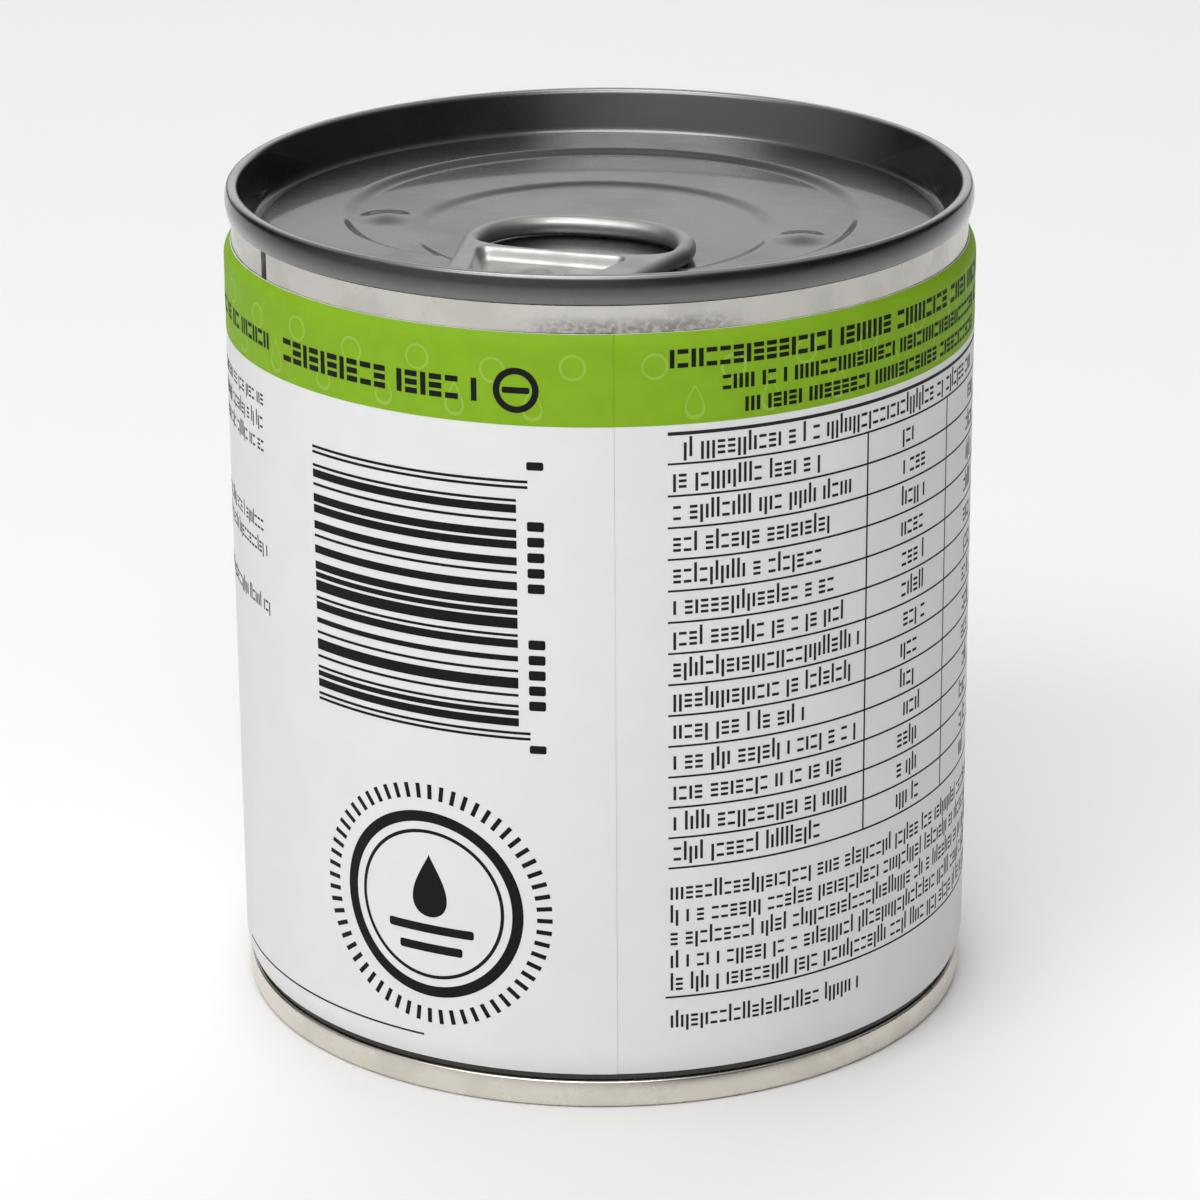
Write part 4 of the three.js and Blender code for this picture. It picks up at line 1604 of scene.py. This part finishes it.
BAR_LEFT = -30.5
BAR_RIGHT = -7.9
GUARD_RIGHT = -6.8
CODE_FOOT = 38.0
CODE_TOP = 63.6
MODULE = 0.27
END_MODULES = 5
CODE_DRAW = {"Bars": 60, "Columns": 20, "Seed": 7}
BLOCK_LEFT = -6.9
BLOCK_RIGHT = -5.3
BLOCK_SHARE = 0.62
BLOCK_CORNER = 0.2

BlockColumn = namedtuple("BlockColumn", "low high blocks")

BLOCK_COLUMNS = (
    BlockColumn(36.7, 38.0, 1),
    BlockColumn(41.0, 48.6, 5),
    BlockColumn(52.6, 60.2, 5),
    BlockColumn(64.6, 65.9, 1),
)


def make_bar_code(scene):
    """Ladder of level bars with a column of blocks beside it."""
    label = scene.label_sizes
    step = label.step / MM
    tree = node_tree("bar_ladder", ladder_tree)
    sheets = [plain_sheet(run_trees(bpy.data.meshes.new("bars"), [(tree, {
        "Left": BAR_LEFT, "Foot": CODE_FOOT + END_MODULES * MODULE, "Length": BAR_RIGHT - BAR_LEFT,
        "Height": CODE_TOP - CODE_FOOT - 2 * END_MODULES * MODULE, "Module": MODULE,
        **CODE_DRAW,
    })]))]
    guards = (CODE_FOOT, CODE_FOOT + 2 * MODULE, CODE_TOP - 3 * MODULE, CODE_TOP - MODULE)
    sheets += [field_sheet(BAR_LEFT, GUARD_RIGHT, level, level + MODULE, step) for level in guards]
    for column in BLOCK_COLUMNS:
        pitch = (column.high - column.low) / column.blocks
        for low in column.low + pitch * np.arange(column.blocks):
            high = low + BLOCK_SHARE * pitch
            sheets.append(rounded_bar(BLOCK_LEFT, BLOCK_RIGHT, low, high, BLOCK_CORNER, step))
    add_print("bar_code", drawn(sheets), ink("black_ink", scene.can_colours.ink), label.field_lift)


LARGE_RING_COLUMNS = 96

SEAL_X = -17.3
SEAL_HEIGHT = 19.9
SEAL_TICKS = {"Radius": 10.9, "Tick Width": 0.45, "Tick Length": 1.5, "Count": 60}
SEAL_RINGS = ((9.6, 1.1), (7.7, 0.35))
SEAL_DROP_RISE = 2.2
SEAL_DROP_SIZE = 2.6
SEAL_BARS = ((-3.0, 4.6), (-5.0, 3.4))
SEAL_BAR_THICKNESS = 0.9
SEAL_BAR_CORNER = 0.25


def make_seal(scene):
    """Round seal: a heavy ring, a thin ring, a ring of ticks and a drop over two bars."""
    label = scene.label_sizes
    tree = node_tree("ring_of_ticks", ticks_tree)
    sheets = [
        plain_sheet(run_trees(bpy.data.meshes.new("ticks"), [
            (tree, {"Centre X": SEAL_X, "Centre Z": SEAL_HEIGHT, **SEAL_TICKS})])),
        drop_sheet(SEAL_X, SEAL_HEIGHT + SEAL_DROP_RISE, SEAL_DROP_SIZE, rows=5),
    ]
    for radius, thickness in SEAL_RINGS:
        sheets.append(ring_sheet(SEAL_X, SEAL_HEIGHT, radius, thickness, columns=LARGE_RING_COLUMNS))
    for level, half in SEAL_BARS:
        low = SEAL_HEIGHT + level
        sheets.append(rounded_bar(
            SEAL_X - half, SEAL_X + half, low, low + SEAL_BAR_THICKNESS, SEAL_BAR_CORNER, label.step / MM))
    add_print("round_seal", drawn(sheets), ink("black_ink", scene.can_colours.ink), label.field_lift)


FAR_X = 113.0
FAR_HEIGHT = 36.0
FAR_RADIUS = 24.0
FAR_RING_RADIUS = 21.5
FAR_RING_STROKE = 1.0
FAR_DROP_RISE = 1.5
FAR_DROP_SIZE = 10.0


def make_far_panel(scene):
    """Round green field with a white ring and drop on the side away from the front."""
    label = scene.label_sizes
    colours = scene.can_colours
    disc = ring_sheet(FAR_X, FAR_HEIGHT, FAR_RADIUS, FAR_RADIUS, columns=LARGE_RING_COLUMNS, rows=22)
    add_print("far_field", drawn([disc]), ink("green_ink", colours.band), label.field_lift)
    white = [
        ring_sheet(FAR_X, FAR_HEIGHT, FAR_RING_RADIUS, FAR_RING_STROKE, columns=LARGE_RING_COLUMNS),
        drop_sheet(FAR_X, FAR_HEIGHT + FAR_DROP_RISE, FAR_DROP_SIZE, rows=12),
    ]
    add_print("far_drop", drawn(white), ink("white_ink", colours.paper), label.line_lift)


# Stage

FLOOR_SEGMENTS = 96


def make_floor(scene):
    """Round pale floor."""
    floor = bmesh.new()
    bmesh.ops.create_circle(
        floor, cap_ends=True, cap_tris=True, segments=FLOOR_SEGMENTS, radius=scene.stage_sizes.floor_radius)
    mesh = bpy.data.meshes.new("floor")
    floor.to_mesh(mesh)
    floor.free()
    mesh.materials.append(floor_finish(scene.can_colours.floor))
    ground = bpy.data.objects.new("floor", mesh)
    scene.collection.objects.link(ground)


CLIP_START = 0.01
CLIP_END = 100.0


def make_camera(scene):
    """Camera in front of the can and above it, with a long lens."""
    stage = scene.stage_sizes
    data = bpy.data.cameras.new("camera")
    data.lens = stage.lens
    data.sensor_width = stage.sensor
    data.clip_start = CLIP_START
    data.clip_end = CLIP_END
    camera = bpy.data.objects.new("camera", data)
    scene.collection.objects.link(camera)
    camera.matrix_world = (
        Matrix.Rotation(stage.azimuth, 4, 'Z')
        @ Matrix.Translation((0.0, -stage.distance, stage.eye_height))
        @ Matrix.Rotation(-stage.yaw, 4, 'Z')
        @ Matrix.Rotation(math.pi / 2 - stage.pitch, 4, 'X')
        @ Matrix.Rotation(stage.roll, 4, 'Z')
    )
    scene.camera = camera


# Light of a softbox by the distance from its middle, where its width is one.
SOFT_EDGE = Fade(0.2, 0.5, 1.0, 0.0)


def soften(light):
    """Lets the light of a softbox fade towards its edge."""
    light.use_nodes = True
    make = NodeMaker(light.node_tree)
    across = make.add('ShaderNodeNewGeometry').outputs["Parametric"]
    from_middle = make.add('ShaderNodeVectorMath', operation='DISTANCE')
    make.feed(from_middle.inputs[0], across)
    make.feed(from_middle.inputs[1], (0.5, 0.5, 0.0))
    fade = make.ramp(from_middle.outputs["Value"], *SOFT_EDGE)
    make.feed(light.node_tree.nodes["Emission"].inputs["Strength"], fade)


Softbox = namedtuple("Softbox", "azimuth elevation distance width height power")

KEY = Softbox(-21.0, 51.0, 0.9, 1.45, 0.54, 9.4)
OVERHEAD = Softbox(-100.0, 82.0, 1.3, 1.1, 1.0, 6.6)
BACKDROP = Softbox(180.0, 50.0, 1.5, 2.4, 0.9, 14.0)


def add_softbox(scene, name, box):
    """Area light that faces the can from an azimuth and elevation, in degrees from the camera's side."""
    data = bpy.data.lights.new(name, 'AREA')
    data.shape = 'ELLIPSE'
    data.size = box.width
    data.size_y = box.height
    data.energy = box.power
    soften(data)
    light = bpy.data.objects.new(name, data)
    scene.collection.objects.link(light)
    light.matrix_world = (
        Matrix.Translation((0.0, 0.0, scene.can_sizes.height / 2))
        @ Matrix.Rotation(scene.stage_sizes.azimuth + math.radians(box.azimuth), 4, 'Z')
        @ Matrix.Rotation(math.radians(90.0 - box.elevation), 4, 'X')
        @ Matrix.Translation((0.0, 0.0, box.distance))
    )
    return light


ABOVE = Fade(0.25, 0.9, 0.05, 0.4)
BEHIND = Fade(0.7, 0.93, 0.0, 0.8)
HORIZON = Fade(0.02, 0.16, 0.0, 1.0)
LEFT = Fade(0.25, 1.0, 0.0, 0.54)
LEFT_TURN = math.radians(42.0)


def light_tent(scene):
    """World that glows above, behind and at the front left."""
    world = bpy.data.worlds.new("light_tent")
    world.use_nodes = True
    make = NodeMaker(world.node_tree)
    direction = make.add('ShaderNodeTexCoord').outputs["Generated"]
    turned = make.result('ShaderNodeMapping', {
        "Vector": direction, "Rotation": (0.0, 0.0, -scene.stage_sizes.azimuth)})
    x, y, z = make.parts(turned)
    above = make.ramp(z, *ABOVE)
    behind = make.times(make.ramp(y, *BEHIND), make.ramp(z, *HORIZON))
    to_left = make.math('MULTIPLY_ADD', y, -math.cos(LEFT_TURN), make.times(x, -math.sin(LEFT_TURN)))
    left = make.ramp(to_left, *LEFT)
    background = world.node_tree.nodes["Background"]
    background.inputs["Color"].default_value = (1.0, 1.0, 1.0, 1.0)
    make.feed(background.inputs["Strength"], make.plus(above, make.plus(behind, left)))
    return world


def make_light(scene):
    """Soft light tent with softboxes in front, above and over the back."""
    scene.world = light_tent(scene)
    add_softbox(scene, "key", KEY)
    add_softbox(scene, "overhead", OVERHEAD)
    backdrop = add_softbox(scene, "backdrop", BACKDROP)
    backdrop.visible_glossy = False
    scene.view_settings.view_transform = 'Standard'


# Operators

class CAN_OT_stage(Operator):
    """Add the floor, the light and the camera"""
    bl_idname = "can.add_stage"
    bl_label = "Stage"

    def execute(self, context):
        make_floor(context.scene)
        make_light(context.scene)
        make_camera(context.scene)
        return {'FINISHED'}


class CAN_OT_body(Operator):
    """Add the tinplate wall and its weld"""
    bl_idname = "can.add_body"
    bl_label = "Body"

    def execute(self, context):
        make_body(context.scene)
        make_weld(context.scene)
        return {'FINISHED'}


class CAN_OT_base(Operator):
    """Add the lower end"""
    bl_idname = "can.add_base"
    bl_label = "Base"

    def execute(self, context):
        make_base(context.scene)
        return {'FINISHED'}


class CAN_OT_lid(Operator):
    """Add the lid and its rivet"""
    bl_idname = "can.add_lid"
    bl_label = "Lid"

    def execute(self, context):
        make_lid(context.scene)
        make_rivet(context.scene)
        return {'FINISHED'}


class CAN_OT_pull(Operator):
    """Add the ring pull"""
    bl_idname = "can.add_pull"
    bl_label = "Ring pull"

    def execute(self, context):
        make_pull(context.scene)
        return {'FINISHED'}


class CAN_OT_label(Operator):
    """Add the paper label with its green band"""
    bl_idname = "can.add_label"
    bl_label = "Label"

    def execute(self, context):
        make_label(context.scene)
        make_band(context.scene)
        return {'FINISHED'}


class CAN_OT_band_print(Operator):
    """Add the print on the green band"""
    bl_idname = "can.add_band_print"
    bl_label = "Band print"

    def execute(self, context):
        make_motifs(context.scene)
        make_bold_lines(context.scene)
        return {'FINISHED'}


class CAN_OT_table(Operator):
    """Add the rules of the table and the rows of small marks"""
    bl_idname = "can.add_table"
    bl_label = "Table and small marks"

    def execute(self, context):
        make_table(context.scene)
        make_small_print(context.scene)
        return {'FINISHED'}


class CAN_OT_marks(Operator):
    """Add the bar code and the round seal"""
    bl_idname = "can.add_marks"
    bl_label = "Bar code and seal"

    def execute(self, context):
        make_bar_code(context.scene)
        make_seal(context.scene)
        return {'FINISHED'}


class CAN_OT_far_panel(Operator):
    """Add the round field on the far side"""
    bl_idname = "can.add_far_panel"
    bl_label = "Far side"

    def execute(self, context):
        make_far_panel(context.scene)
        return {'FINISHED'}


STEPS = (
    CAN_OT_stage, CAN_OT_body, CAN_OT_base, CAN_OT_lid, CAN_OT_pull, CAN_OT_label,
    CAN_OT_band_print, CAN_OT_table, CAN_OT_marks, CAN_OT_far_panel,
)


class CAN_PT_panel(Panel):
    """Lists the steps that make the can"""
    bl_idname = "CAN_PT_panel"
    bl_label = "Food can"
    bl_space_type = 'VIEW_3D'
    bl_region_type = 'UI'
    bl_category = "Can"

    def draw(self, context):
        for step in STEPS:
            self.layout.operator(step.bl_idname)


GROUPS = {
    "can_sizes": CanSizes,
    "end_sizes": EndSizes,
    "lid_sizes": LidSizes,
    "pull_sizes": PullSizes,
    "label_sizes": LabelSizes,
    "can_colours": FinishColours,
    "stage_sizes": StageSizes,
}


def register():
    """Registers the classes and gives the scene its groups of sizes."""
    for group in GROUPS.values():
        bpy.utils.register_class(group)
    for name, group in GROUPS.items():
        setattr(bpy.types.Scene, name, PointerProperty(type=group))
    for item in (*STEPS, CAN_PT_panel):
        bpy.utils.register_class(item)


def unregister():
    """Takes the groups and classes away again."""
    for item in reversed((*STEPS, CAN_PT_panel)):
        bpy.utils.unregister_class(item)
    for name in GROUPS:
        delattr(bpy.types.Scene, name)
    for group in reversed(GROUPS.values()):
        bpy.utils.unregister_class(group)


def main():
    """Makes the can step by step."""
    register()
    for step in STEPS:
        family, name = step.bl_idname.split(".")
        getattr(getattr(bpy.ops, family), name)()


if __name__ == "__main__":
    main()
